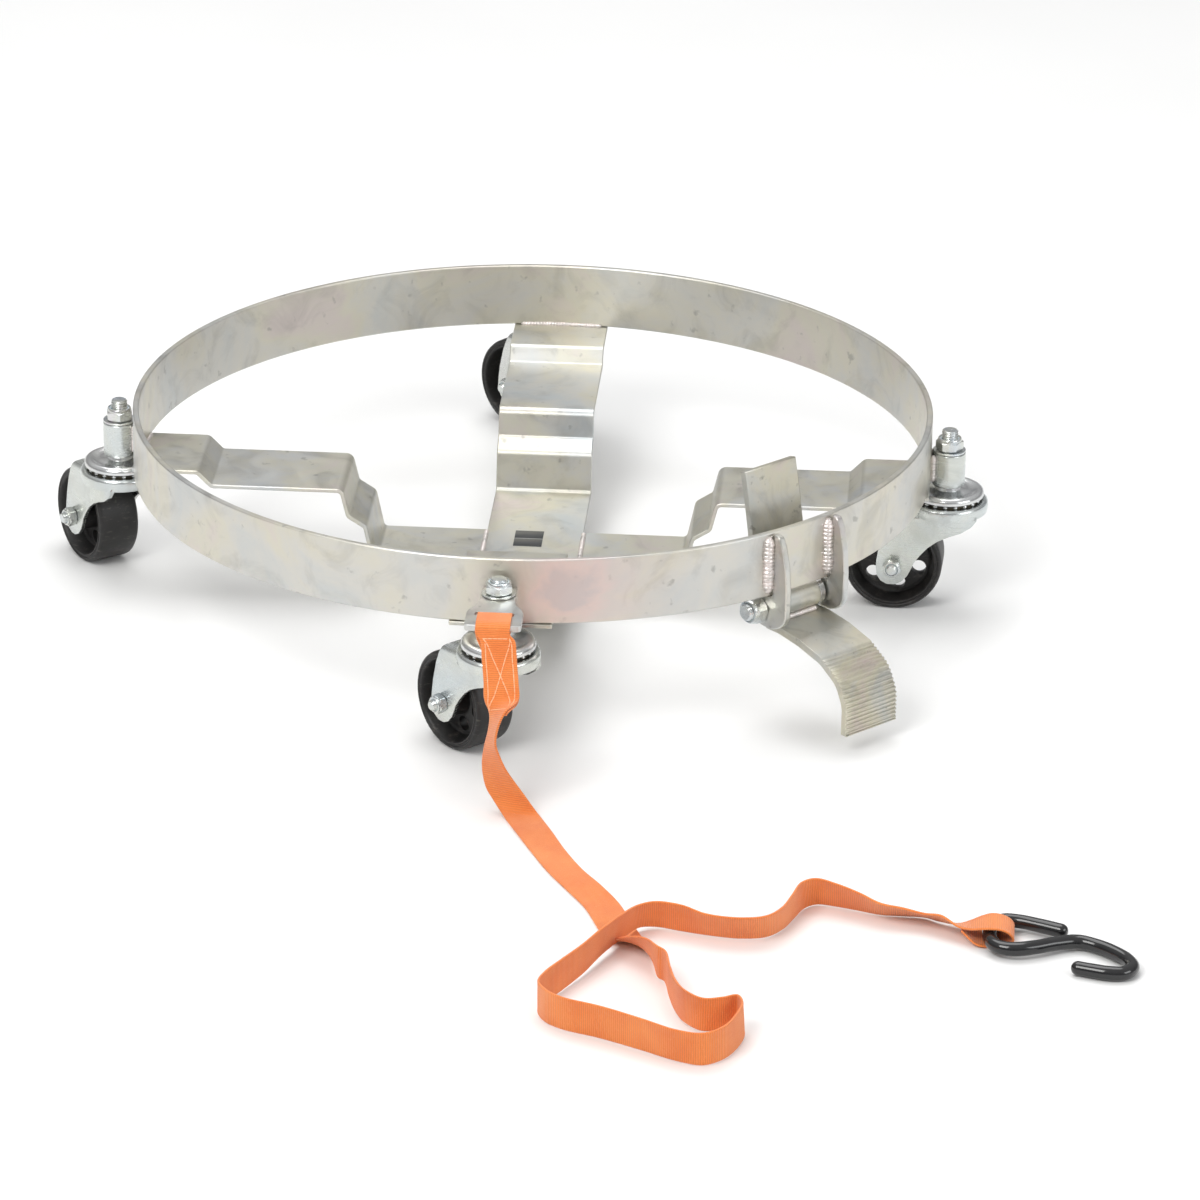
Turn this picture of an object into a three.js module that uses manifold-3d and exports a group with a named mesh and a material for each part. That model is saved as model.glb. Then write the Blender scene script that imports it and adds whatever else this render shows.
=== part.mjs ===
// Drum dolly: rolled ring on two stepped cross bars, four swivel casters, a foot
// lever hinged under the ring and a webbing strap with an S-hook.
// Millimetres, +Z up, floor at Z = 0, ring axis on Z, foot lever toward -Y.
import * as THREE from 'three';
import { mergeVertices } from 'three/addons/utils/BufferGeometryUtils.js';
import Module from 'manifold-3d';

const wasm = await Module();
wasm.setup();

// ---- driving dimensions -------------------------------------------------
const RING_ID = 609.6;          // 24 in, takes a 55 gallon drum
const RING_WALL = 4.8;
const RING_H = 50.8;
const RING_Z = 104.5;           // underside of the ring
const BAR_W = 76.2;
const BAR_T = 3.2;
const BAR_LOW = 32.5;           // top of the middle well
const BAR_MID = 93.0;
const BAR_TOP = 104.1;
const CASTER_R = 323.2;         // stem circle radius
const SLEEVE_R = 12.7;
const SLEEVE_BORE = 6.9;
const SLEEVE_Z = [101.4, 128.4];
const STEM_R = 6.35;
const STEM_TOP = 146.3;
const NUT_BORE = 7.7;           // across the corners of the six-sided bore
const WHEEL_R = 38.1;
const WHEEL_W = 34;
const AXLE_Z = WHEEL_R;
const TRAIL = 40;               // swivel offset
const FORK_IN = 18.4;
const FORK_T = 3.0;
const PIVOT_R = 297;            // lever pivot, distance from the ring axis
const PIVOT_Z = 91;
const EAR_T = 5.2;
const EAR_GAP = 53.4;           // clear distance between the ears
const LEVER_W = 50.8;
const LEVER_T = 6.0;
const STRAP_T = 1.6;
const HOOK_R = 5.1;
const GAP = 0.3;

const CASTERS = [               // stem azimuth, trail azimuth (degrees)
  { id: 'strap_side', at: -135, trail: 87.4 },
  { id: 'right', at: -45, trail: 132 },
  { id: 'back', at: 45, trail: 96 },
  { id: 'left', at: 135, trail: 80.5 },
];
const LEVER_AT = -90;

// ---- colours ------------------------------------------------------------
const zinc = (c = 0xc9c8c0, r = 0.42) => new THREE.MeshStandardMaterial({ color: c, roughness: r, metalness: 0.85 });
const blackPlastic = () => new THREE.MeshStandardMaterial({ color: 0x141416, roughness: 0.55, metalness: 0 });
const vinyl = () => new THREE.MeshStandardMaterial({ color: 0x0b0b0c, roughness: 0.2, metalness: 0 });
const webbing = () => new THREE.MeshStandardMaterial({ color: 0xf07a3c, roughness: 0.85, metalness: 0 });

// ---- helpers ------------------------------------------------------------
const rad = (d) => (d * Math.PI) / 180;
const object = new THREE.Group();
object.name = 'drum_dolly';

function add(name, geometry, material, parent = object) {
  const mesh = new THREE.Mesh(geometry, material);
  mesh.name = name;
  parent.add(mesh);
  return mesh;
}

function toSolid(geometry) {
  let g = geometry.clone();
  g.deleteAttribute('normal');
  g.deleteAttribute('uv');
  g = mergeVertices(g, 1e-4);
  return new wasm.Manifold(new wasm.Mesh({
    numProp: 3,
    vertProperties: new Float32Array(g.attributes.position.array),
    triVerts: new Uint32Array(g.index.array),
  }));
}

function fromSolid(solid) {
  const m = solid.getMesh();
  const g = new THREE.BufferGeometry();
  const p = new Float32Array(m.numVert * 3);
  for (let i = 0; i < m.numVert; i++) for (let k = 0; k < 3; k++) p[i * 3 + k] = m.vertProperties[i * m.numProp + k];
  g.setAttribute('position', new THREE.BufferAttribute(p, 3));
  g.setIndex(new THREE.BufferAttribute(new Uint32Array(m.triVerts), 1));
  g.computeVertexNormals();
  return g;
}

// turned piece about Z from [radius, z] points; closed sections repeat their first point
function turned(points, segments, closed = false) {
  const pts = points.map(([r, z]) => new THREE.Vector2(r, z));
  if (closed) pts.push(pts[0].clone());
  let area = 0;
  for (let i = 0; i < pts.length; i++) {
    const a = pts[i], b = pts[(i + 1) % pts.length];
    area += a.x * b.y - b.x * a.y;
  }
  if (area < 0) pts.reverse();
  const g = new THREE.LatheGeometry(pts, segments);
  g.rotateX(Math.PI / 2);
  return g;
}

// extrusion of a 2-D outline laid in a vertical plane: outline x runs along `dir`
// (a horizontal azimuth), outline y is Z, thickness is centred on that plane
function upright(outline, thickness, azimuth, offset = 0, holes = []) {
  const shape = new THREE.Shape(outline.map(([x, y]) => new THREE.Vector2(x, y)));
  for (const h of holes) {
    const path = new THREE.Path();
    path.absarc(h[0], h[1], h[2], 0, Math.PI * 2, true);
    shape.holes.push(path);
  }
  const g = new THREE.ExtrudeGeometry(shape, { depth: thickness, bevelEnabled: false, curveSegments: 8 });
  g.translate(0, 0, -thickness / 2 + offset);
  const a = rad(azimuth);
  const dir = new THREE.Vector3(Math.cos(a), Math.sin(a), 0);
  const up = new THREE.Vector3(0, 0, 1);
  const side = new THREE.Vector3().crossVectors(dir, up);
  g.applyMatrix4(new THREE.Matrix4().makeBasis(dir, up, side));
  return g;
}

// polyline with rounded corners
function rounded(points, radius, steps = 4) {
  const out = [points[0].slice()];
  for (let i = 1; i < points.length - 1; i++) {
    const p = points[i], a = points[i - 1], b = points[i + 1];
    const u = [a[0] - p[0], a[1] - p[1]], v = [b[0] - p[0], b[1] - p[1]];
    const lu = Math.hypot(...u), lv = Math.hypot(...v);
    u[0] /= lu; u[1] /= lu; v[0] /= lv; v[1] /= lv;
    const half = Math.acos(Math.max(-1, Math.min(1, u[0] * v[0] + u[1] * v[1]))) / 2;
    const r = Array.isArray(radius) ? radius[i] : radius;
    const t = Math.min(r / Math.tan(half), lu * 0.48, lv * 0.48);
    const rr = t * Math.tan(half);
    const s = [p[0] + u[0] * t, p[1] + u[1] * t], e = [p[0] + v[0] * t, p[1] + v[1] * t];
    const bis = [u[0] + v[0], u[1] + v[1]];
    const lb = Math.hypot(...bis);
    const c = [p[0] + (bis[0] / lb) * (rr / Math.sin(half)), p[1] + (bis[1] / lb) * (rr / Math.sin(half))];
    let a0 = Math.atan2(s[1] - c[1], s[0] - c[0]), a1 = Math.atan2(e[1] - c[1], e[0] - c[0]);
    let d = a1 - a0;
    while (d > Math.PI) d -= 2 * Math.PI;
    while (d < -Math.PI) d += 2 * Math.PI;
    for (let k = 0; k <= steps; k++) out.push([c[0] + rr * Math.cos(a0 + (d * k) / steps), c[1] + rr * Math.sin(a0 + (d * k) / steps)]);
  }
  out.push(points[points.length - 1].slice());
  return out;
}

// closed outline of a strip of constant thickness along a centre line
function strip(center, thickness) {
  const left = [], right = [];
  for (let i = 0; i < center.length; i++) {
    const a = center[Math.max(0, i - 1)], b = center[Math.min(center.length - 1, i + 1)];
    let n;
    if (i > 0 && i < center.length - 1) {
      const p = center[i];
      const d1 = [p[0] - a[0], p[1] - a[1]], d2 = [b[0] - p[0], b[1] - p[1]];
      const l1 = Math.hypot(...d1), l2 = Math.hypot(...d2);
      const t = [d1[0] / l1 + d2[0] / l2, d1[1] / l1 + d2[1] / l2];
      const l = Math.hypot(...t);
      n = [-t[1] / l, t[0] / l];
    } else {
      const d = [b[0] - a[0], b[1] - a[1]];
      const l = Math.hypot(...d);
      n = [-d[1] / l, d[0] / l];
    }
    left.push([center[i][0] + (n[0] * thickness) / 2, center[i][1] + (n[1] * thickness) / 2]);
    right.push([center[i][0] - (n[0] * thickness) / 2, center[i][1] - (n[1] * thickness) / 2]);
  }
  return left.concat(right.reverse());
}

function ccw(outline) {
  let s = 0;
  for (let i = 0; i < outline.length; i++) {
    const a = outline[i], b = outline[(i + 1) % outline.length];
    s += a[0] * b[1] - b[0] * a[1];
  }
  return s < 0 ? outline.slice().reverse() : outline;
}

// ---- strap route: its two edges, station by station, and the hook wire centre ----
const STRAP_RAIL_A = [
  [-280.9, -272.1, 107.5], [-279, -268.6, 115.8], [-276.9, -259.6, 124.4], [-273.8, -256.5, 127],
  [-267.4, -250.2, 127], [-264.5, -247.2, 127.2], [-263.1, -245.9, 128.9], [-262.8, -245.6, 131.2],
  [-263.3, -246.1, 133.6], [-264.7, -247.5, 135], [-267.4, -250.2, 135.2], [-272.4, -255.1, 135.3],
  [-277.3, -260.1, 135], [-279.6, -262.3, 133], [-280.3, -263, 128.5], [-279.1, -267.5, 123.5],
  [-281.5, -272.1, 111.4], [-285.4, -278.8, 97.4], [-288.7, -283.3, 86.4], [-286.7, -287.5, 74.3],
  [-287.1, -287, 62.4], [-289.1, -285, 49.5], [-290.4, -283.8, 37.5], [-289.9, -284.2, 26.4],
  [-288.6, -286.3, 16.3], [-286.6, -291.8, 8.1], [-289.4, -306.4, 1.4], [-300.3, -333.8, 1.1],
  [-312, -362.9, 1.1], [-324.6, -396.3, 1.1], [-333.8, -427.6, 1.1], [-342.8, -457.8, 1.1],
  [-358.1, -490.6, 1.1], [-365, -508.1, 1.1], [-370.4, -523.1, 10.7], [-373.1, -541.7, 20.7],
  [-373.8, -557.2, 25.4], [-376.9, -572.8, 26.5], [-377.4, -580.9, 26.4], [-391, -601.4, 26.4],
  [-401.9, -619.8, 26.4], [-406.9, -635.1, 26.4], [-405.5, -651.8, 26.5], [-394.7, -658.9, 26.5],
  [-384.4, -662.6, 26.4], [-388.3, -671.9, 26.4], [-404.3, -683.6, 26.5], [-424.4, -691.7, 26.5],
  [-440.5, -689.6, 26.4], [-450.4, -674.7, 26.3], [-457.8, -646.7, 26.4], [-466.8, -616.2, 26.4],
  [-477.8, -589.7, 26.4], [-478.8, -573.3, 26.5], [-473.5, -560.2, 26.4], [-461.2, -552.8, 26.4],
  [-440.3, -546.3, 26.7], [-416.5, -539.7, 27.4], [-390.6, -530.9, 28.5], [-366, -522.8, 28],
  [-344.4, -516.1, 26], [-330.4, -519.2, 25.5], [-320.3, -534, 25.2], [-313.9, -553, 23.4],
  [-299.6, -572.4, 23.2], [-283.9, -581.9, 23.4], [-266.8, -579.8, 23.8], [-249.1, -570.8, 24.5],
  [-230.7, -561.2, 25.3], [-219.2, -563.2, 25.2], [-212.1, -578.3, 24], [-206.7, -595.2, 21.7],
  [-202.6, -611.3, 18.7], [-192.8, -624.4, 16.6], [-184.3, -636.9, 14.4], [-180.4, -649.8, 16.5],
  [-177, -664.2, 12.2], [-174.3, -673.5, 12.7], [-170.9, -680.7, 14.6], [-166.5, -686.2, 15.2],
  [-161.8, -691.4, 14.6], [-157.8, -695.5, 11.6], [-156.1, -697.2, 7.6], [-157.5, -695.7, 3.9],
  [-160.9, -692, 1.7], [-167.2, -685.5, 1.2], [-173.4, -678.3, 2.6], [-176.8, -666.7, 9.9],
];
const STRAP_RAIL_B = [
  [-262.9, -290, 108], [-261, -286.6, 116.5], [-258.9, -277.6, 124.4], [-255.8, -274.5, 127],
  [-249.5, -268.1, 127], [-246.5, -265.2, 127.2], [-245.2, -263.8, 128.9], [-244.9, -263.5, 131.2],
  [-245.4, -264, 133.6], [-246.8, -265.4, 135], [-249.5, -268.1, 135.2], [-254.4, -273.1, 135.3],
  [-259.4, -278, 135], [-261.6, -280.3, 133], [-262.3, -281, 128.5], [-261.2, -285.4, 124.5],
  [-263.6, -290.1, 111.9], [-267.5, -296.8, 97.9], [-270.8, -301.3, 87], [-291.2, -310, 85.1],
  [-295.9, -307.9, 73.9], [-296.9, -306.4, 61], [-292.6, -306.5, 48.7], [-287, -307.1, 36.9],
  [-279.7, -308.2, 25.5], [-275.1, -313, 16.3], [-269.8, -322.5, 2.8], [-280.7, -349.9, 2.5],
  [-292.8, -379.6, 1.4], [-305.2, -412.6, 2.2], [-314, -443.4, 3.7], [-319.8, -468.6, 1.2],
  [-334.7, -500.3, 1.2], [-340, -512.5, 1.2], [-348.4, -531.4, 1.2], [-357.6, -547, 1.2],
  [-366.4, -559.9, 1.2], [-375.2, -573.3, 1.2], [-375.4, -579.4, 1.1], [-389.1, -600.4, 1.1],
  [-400, -618.7, 1.1], [-405.7, -633.3, 1.1], [-405.2, -651.1, 1.1], [-393.8, -658.6, 1.1],
  [-383, -661.9, 1.1], [-386.6, -672.3, 1.1], [-403.8, -684.7, 1.1], [-423.3, -691.2, 1.1],
  [-438.9, -688.6, 1.1], [-448, -672.5, 1.1], [-455.9, -645.1, 1.1], [-465.6, -615.2, 1.1],
  [-476.6, -588.7, 1.1], [-478.2, -572.9, 1.1], [-472.1, -558.7, 1.1], [-459.8, -551.4, 1.1],
  [-438.4, -544.5, 1.4], [-413.2, -536.4, 2.4], [-385.1, -525, 4.4], [-358.8, -516.1, 4.6],
  [-335.9, -509.1, 3.2], [-324.1, -513.7, 1.6], [-315.2, -527.9, 1.1], [-305.4, -544.2, 1.1],
  [-290.8, -563.4, 1.1], [-275.3, -573.3, 1.1], [-258.7, -571.8, 1.1], [-241.6, -564.5, 1.1],
  [-224.3, -557.1, 1.1], [-212.8, -558.3, 1.1], [-204.2, -570.7, 1.1], [-197.2, -583.8, 1.1],
  [-189.6, -598.3, 1.1], [-178.6, -610.2, 1.1], [-169, -621.5, 1.4], [-165.6, -635.1, 2],
  [-160.3, -647.5, 3], [-156.7, -655.9, 7.7], [-153, -662.8, 12.6], [-148.6, -668.3, 15.2],
  [-143.8, -673.5, 14.6], [-139.9, -677.5, 11.6], [-138.2, -679.2, 7.6], [-139.5, -677.8, 3.9],
  [-143, -674, 1.7], [-149.2, -667.5, 1.2], [-155.5, -660.4, 2.2], [-159.9, -649.8, 1.6],
];
const HOOK_PATH = [
  [-119.6, -707.7, 7.7], [-125.4, -692.7, 7.7], [-132.2, -677.8, 7.7], [-139.8, -670.5, 7.7],
  [-150.7, -671.7, 7.7], [-163.8, -681.2, 7.7], [-171, -695.5, 7.7], [-166.2, -706.5, 7.7],
  [-151.8, -714.5, 7.7], [-134.4, -719.6, 7.2], [-121.1, -726, 6.6], [-115, -737.6, 6],
  [-112.5, -752.7, 5.6], [-113.6, -767.4, 5.4], [-119.2, -776.7, 5.4], [-129.5, -779.2, 5.4],
  [-138, -772.1, 5.4], [-143.7, -762.3, 5.4], [-148.5, -753.4, 5.4],
];

// ---- ring ---------------------------------------------------------------
const RI = RING_ID / 2, RO = RI + RING_WALL;
add('ring_band', turned([[RI, RING_Z], [RO, RING_Z], [RO, RING_Z + RING_H], [RI, RING_Z + RING_H]], 72, true), zinc());

// ---- stepped cross bars ---------------------------------------------------
const half = [[120.5, BAR_LOW], [127.2, 63.5], [140.5, 72.0], [145.6, BAR_MID], [247, BAR_MID], [258, BAR_TOP], [309, BAR_TOP]];
const lower = (pts) => pts.map(([x, z]) => [x, z - BAR_T / 2]);
const through = lower([...half.map(([x, z]) => [-x, z]).reverse(), ...half]);
add('cross_bar_through', upright(ccw(strip(rounded(through, 5, 3), BAR_T)), BAR_W, 45), zinc(0xc4c4bc));
const halfBar = lower([[BAR_W / 2 + GAP, BAR_LOW], ...half]);
add('cross_bar_right', upright(ccw(strip(rounded(halfBar, 5, 3), BAR_T)), BAR_W, -45), zinc(0xc4c4bc));
add('cross_bar_left', upright(ccw(strip(rounded(halfBar, 5, 3), BAR_T)), BAR_W, 135), zinc(0xc4c4bc));

// ---- casters --------------------------------------------------------------
const HAS_PLATE = 'strap_side';
const PLATE_T = 4.8;
const PLATE_Z = SLEEVE_Z[1] + GAP;

const stemProfile = [
  [0, 75.6], [8.6, 75.6], [8.6, 79.0], [STEM_R, 79.0], [STEM_R, 93.6], [24.3, 93.6], [26.4, 92.5], [27.8, 92.9], [27.6, 94.9],
  [25.6, 96.9], [20, 98.2], [10.8, 98.6], [10.5, SLEEVE_Z[0] - GAP], [STEM_R, SLEEVE_Z[0] - GAP], [STEM_R, STEM_TOP - 1], [STEM_R - 1, STEM_TOP], [0, STEM_TOP],
];
const crownProfile = [[7, 84.4], [7, 88.4], [17.5, 88.4], [24.8, 88.2], [27.4, 89.9], [30, 89.2], [31.2, 86.6], [30.6, 80.4], [27.6, 80.2], [27.9, 84.4]];
const ballProfile = [[19.6, 90.0], [20.6, 89.0], [23.4, 89.0], [24.4, 90.0], [24.0, 93.0], [20.0, 93.0]];
const legOutline = ccw([
  [-24, 79.5], [-23.5, 86], [36, 86], [41, 83.5], [44.5, 76], [47.5, 68], [51, 53], [52.6, 42], [52.8, 36], [52, 30.5],
  [49, 25.6], [44, 22.8], [38, 22.8], [32.5, 25.5], [28.2, 30.5], [25.6, 36], [23.5, 41.5], [19, 48], [13, 55],
  [6, 60.5], [-3, 65], [-12, 68.5], [-20, 74],
]);
// flat top of the fork, over the wheel, with the kingpin's hole
const WEB_Z = 83;
function webGeometry() {
  const w = FORK_IN + FORK_T - 0.2;
  const shape = new THREE.Shape([[-23.4, -w], [35.8, -w], [35.8, w], [-23.4, w]].map(([x, y]) => new THREE.Vector2(x, y)));
  const hole = new THREE.Path();
  hole.absarc(0, 0, 7.1, 0, Math.PI * 2, true);
  shape.holes.push(hole);
  const g = new THREE.ExtrudeGeometry(shape, { depth: 2.8, bevelEnabled: false, curveSegments: 12 });
  g.translate(0, 0, WEB_Z);
  return g;
}
const wheelProfile = [
  [6.7, -17.4], [10.6, -17.4], [12.2, -4.2], [28.6, -3.2], [31.4, -15.4], [33.4, -16.6], [36.2, -16.9], [38.1, -14.4],
  [38.1, 14.4], [36.2, 16.9], [33.4, 16.6], [31.4, 15.4], [28.6, 3.2], [12.2, 4.2], [10.6, 17.4], [6.7, 17.4],
];

// turned about the axle: profile [radius, along the axle]
function onAxle(points, segments, closed, phase = 0) {
  const g = turned(points, segments, closed);
  g.rotateZ(phase);
  g.rotateX(-Math.PI / 2);      // Z axis to +Y
  return g;
}

const hubWindow = new THREE.CylinderGeometry(5.6, 5.6, 20, 8);   // axis along Y
function wheelGeometry() {
  let solid = toSolid(onAxle(wheelProfile, 24, true));
  for (let k = 0; k < 6; k++) {
    const a = (k * Math.PI) / 3 + 0.35;
    const cut = hubWindow.clone();
    cut.translate(20.6 * Math.cos(a), 0, 20.6 * Math.sin(a));
    solid = solid.subtract(toSolid(cut));
  }
  return fromSolid(solid);
}
const WHEEL = wheelGeometry();

function forkGeometry() {
  let solid = toSolid(turned(crownProfile, 24, true));
  for (const s of [-1, 1]) {
    const leg = upright(legOutline, FORK_T, 0, s * (FORK_IN + FORK_T / 2), [[TRAIL, AXLE_Z, 4.4]]);
    solid = solid.add(toSolid(leg));
  }
  solid = solid.add(toSolid(webGeometry()));
  return fromSolid(solid);
}
const FORK = forkGeometry();

const LEG_OUT = FORK_IN + FORK_T;
const boltProfile = [[0, -(LEG_OUT + 5.2)], [6.2, -(LEG_OUT + 4.6)], [6.9, -(LEG_OUT + 3.4)], [6.9, -(LEG_OUT + GAP)], [4.0, -(LEG_OUT + GAP)], [4.0, 31.2], [3.2, 32.0], [0, 32.0]];
const axleNut = (() => {
  const z0 = LEG_OUT + GAP, z1 = z0 + 6.0;
  return [[5.1, z0], [6.9, z0], [7.7, z0 + 0.7], [7.7, z1 - 0.7], [6.9, z1], [6.3, z1 + 1.4], [5.1, z1 + 1.4]];
})();

for (const c of CASTERS) {
  const stand = new THREE.Group();
  stand.position.set(CASTER_R * Math.cos(rad(c.at)), CASTER_R * Math.sin(rad(c.at)), 0);
  object.add(stand);
  add(`caster_sleeve_${c.id}`, turned([[SLEEVE_BORE, SLEEVE_Z[0]], [SLEEVE_R, SLEEVE_Z[0]], [SLEEVE_R, SLEEVE_Z[1]], [SLEEVE_BORE, SLEEVE_Z[1]]], 20, true), zinc(), stand);
  add(`stem_${c.id}`, turned(stemProfile, 20), zinc(0xb9bcbb, 0.3), stand);
  const zn = c.id === HAS_PLATE ? PLATE_Z + PLATE_T + GAP : SLEEVE_Z[1] + GAP;
  const washerT = 1.5;
  add(`stem_washer_${c.id}`, turned([[STEM_R + 0.4, zn], [12.6, zn], [12.6, zn + washerT], [STEM_R + 0.4, zn + washerT]], 16, true), zinc(0xc2c4c2, 0.3), stand);
  const n0 = zn + washerT + GAP, n1 = c.id === HAS_PLATE ? n0 + 6.6 : n0 + 7.2;
  const nut = turned([[NUT_BORE, n0], [9.6, n0], [10.9, n0 + 0.9], [10.9, n1 - 0.9], [9.6, n1], [9.2, n1 + 2.2], [NUT_BORE, n1 + 2.4]], 6, true);
  nut.rotateZ(0.4);
  add(`stem_nut_${c.id}`, nut, zinc(0xc6c8c6, 0.3), stand);

  const swivel = new THREE.Group();
  swivel.rotation.z = rad(c.trail);
  stand.add(swivel);
  add(`ball_race_${c.id}`, turned(ballProfile, 16, true), zinc(0x9a9a96, 0.3), swivel);
  add(`fork_${c.id}`, FORK.clone(), zinc(0xc6c8c4, 0.35), swivel);
  const axle = new THREE.Group();
  axle.position.set(TRAIL, 0, AXLE_Z);
  swivel.add(axle);
  add(`axle_bolt_${c.id}`, onAxle(boltProfile, 10, false), zinc(0xbfc2c0, 0.3), axle);
  add(`axle_nut_${c.id}`, onAxle(axleNut, 6, true, 0.3), zinc(0xc9cbc9, 0.3), axle);
  add(`axle_bush_${c.id}`, onAxle([[4.3, -18.1], [6.3, -18.1], [6.3, 18.1], [4.3, 18.1]], 12, true), zinc(0x8c8c88, 0.4), axle);
  add(`wheel_${c.id}`, WHEEL.clone(), blackPlastic(), axle);
}

// ---- strap plate under the nut of the strap side caster -------------------
{
  const a = rad(-135);
  const o = [[-13.5, 12.6], [0, 13.4], [9, 12.8], [19, 14.2], [28, 19.2], [33, 20.6], [55.5, 20.6], [57.5, 18.6]];
  const outline = [...o, ...o.map(([x, y]) => [x, -y]).reverse()];
  const shape = new THREE.Shape(ccw(outline).map(([x, y]) => new THREE.Vector2(x, y)));
  const bore = new THREE.Path();
  bore.absarc(0, 0, STEM_R + 0.4, 0, Math.PI * 2, true);
  const slot = new THREE.Path();
  slot.moveTo(33.6, -14.4); slot.lineTo(33.6, 14.4); slot.lineTo(39.6, 14.4); slot.lineTo(39.6, -14.4); slot.closePath();
  shape.holes.push(bore, slot);
  const g = new THREE.ExtrudeGeometry(shape, { depth: PLATE_T, bevelEnabled: false, curveSegments: 8 });
  g.translate(0, 0, PLATE_Z);
  g.rotateZ(a);
  g.translate(CASTER_R * Math.cos(a), CASTER_R * Math.sin(a), 0);
  add('strap_plate', g, zinc(0xc2c2ba));
}

// ---- foot lever -----------------------------------------------------------
// profiles in [distance from the ring axis, z], laid along the lever's azimuth
const EAR_OFF = EAR_GAP / 2 + EAR_T / 2;
const earOutline = (() => {
  const o = [[RO + GAP + 0.9, 154.6], [316.5, 154.0], [320.5, 146], [324.2, 130], [325.6, 112], [325.4, 96]];
  for (let k = 0; k <= 7; k++) {
    const a = rad(-8 - k * (150 / 7));
    o.push([304.5 + 21.0 * Math.cos(a), 93 + 15.5 * Math.sin(a)]);
  }
  o.push([286.5, 95], [292, 101.6], [302.4, RING_Z - GAP - 0.4], [RO + GAP + 0.9, RING_Z - GAP - 0.4]);
  return ccw(o);
})();
for (const [id, s] of [['left', 1], ['right', -1]]) {
  add(`lever_ear_${id}`, upright(earOutline, EAR_T, LEVER_AT, s * EAR_OFF, [[PIVOT_R, PIVOT_Z, 6.6]]), zinc(0xc6c6be));
}

const KNUCKLE_R = 11.6;
{
  const g = turned([[6.7, -LEVER_W / 2], [KNUCKLE_R, -LEVER_W / 2], [KNUCKLE_R, LEVER_W / 2 - 5.4], [6.7, LEVER_W / 2 - 5.4]], 20, true);
  g.rotateY(Math.PI / 2);
  g.translate(0, -PIVOT_R, PIVOT_Z);
  add('lever_knuckle', g, zinc(0xc8c8c0));
  const s = turned([[6.7, 0], [11.2, 0], [11.2, 5.0], [6.7, 5.0]], 20, true);
  s.rotateY(Math.PI / 2);
  s.translate(LEVER_W / 2 - 5.1, -PIVOT_R, PIVOT_Z);
  add('lever_spacer', s, zinc(0xc8c8c0, 0.35));
}
const pedalCentre = [[297.5, 76.2], [312, 76.2], [334, 73.0], [358, 66.5], [376.5, 55.0], [384.6, 38.5], [384.4, 15.2]];
add('lever_pedal', upright(ccw(strip(rounded(pedalCentre, 22, 5), LEVER_T)), LEVER_W, LEVER_AT), zinc(0xc4c2b6));
const plateCentre = [[282.2, 88.0], [281.6, 104], [279.2, 136], [274.4, 162], [268.4, 189.5]];
add('lever_plate', upright(ccw(strip(rounded(plateCentre, 30, 3), LEVER_T)), LEVER_W, LEVER_AT), zinc(0xbcbab0));

{
  const out = EAR_OFF + EAR_T / 2;
  const bolt = turned([[0, -(out + 9.6)], [8.2, -(out + 9.6)], [9.8, -(out + 8.4)], [9.8, -(out + GAP)], [STEM_R, -(out + GAP)], [STEM_R, out + 14], [STEM_R - 1, out + 15], [0, out + 15]], 16);
  bolt.rotateY(-Math.PI / 2);   // head toward +X, thread toward -X
  bolt.translate(0, -PIVOT_R, PIVOT_Z);
  add('pivot_bolt', bolt, zinc(0xbfc0bc, 0.3));
  const nut = turned([[NUT_BORE, 0], [9.6, 0], [10.9, 0.9], [10.9, 8.6], [9.6, 9.5], [9.2, 11.6], [NUT_BORE, 11.6]], 6, true);
  nut.rotateZ(0.25);
  nut.rotateY(-Math.PI / 2);
  nut.translate(-(out + GAP), -PIVOT_R, PIVOT_Z);
  add('pivot_nut', nut, zinc(0xc6c8c4, 0.3));
}

// ---- strap and S-hook -----------------------------------------------------
function ribbon(A, B, t) {
  const n = A.length;
  const P = [];
  const v = (a) => new THREE.Vector3(a[0], a[1], a[2]);
  const mid = A.map((a, i) => v(a).add(v(B[i])).multiplyScalar(0.5));
  let prev = null;
  for (let i = 0; i < n; i++) {
    const tan = mid[Math.min(n - 1, i + 1)].clone().sub(mid[Math.max(0, i - 1)]).normalize();
    const w = v(B[i]).sub(v(A[i])).normalize();
    const nn = new THREE.Vector3().crossVectors(tan, w).normalize();
    if (prev && nn.dot(prev) < 0) nn.negate();
    prev = nn.clone();
    nn.multiplyScalar(t / 2);
    P.push(v(A[i]).add(nn), v(B[i]).add(nn), v(B[i]).sub(nn), v(A[i]).sub(nn));
  }
  const idx = [];
  for (let i = 0; i < n - 1; i++) {
    for (let k = 0; k < 4; k++) {
      const a = i * 4 + k, b = i * 4 + ((k + 1) % 4), c = a + 4, d = b + 4;
      idx.push(a, b, d, a, d, c);
    }
  }
  const e = (n - 1) * 4;
  idx.push(0, 2, 1, 0, 3, 2, e, e + 1, e + 2, e, e + 2, e + 3);
  const pos = new Float32Array(P.flatMap((p) => [p.x, p.y, p.z]));
  const g = new THREE.BufferGeometry();
  g.setAttribute('position', new THREE.BufferAttribute(pos, 3));
  g.setIndex(idx);
  // outward check by signed volume
  let vol = 0;
  for (let i = 0; i < idx.length; i += 3) vol += P[idx[i]].dot(new THREE.Vector3().crossVectors(P[idx[i + 1]], P[idx[i + 2]]));
  if (vol < 0) {
    for (let i = 0; i < idx.length; i += 3) { const s = idx[i + 1]; idx[i + 1] = idx[i + 2]; idx[i + 2] = s; }
    g.setIndex(idx);
  }
  g.computeVertexNormals();
  return g;
}
add('strap', ribbon(STRAP_RAIL_A, STRAP_RAIL_B, STRAP_T), webbing());

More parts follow.
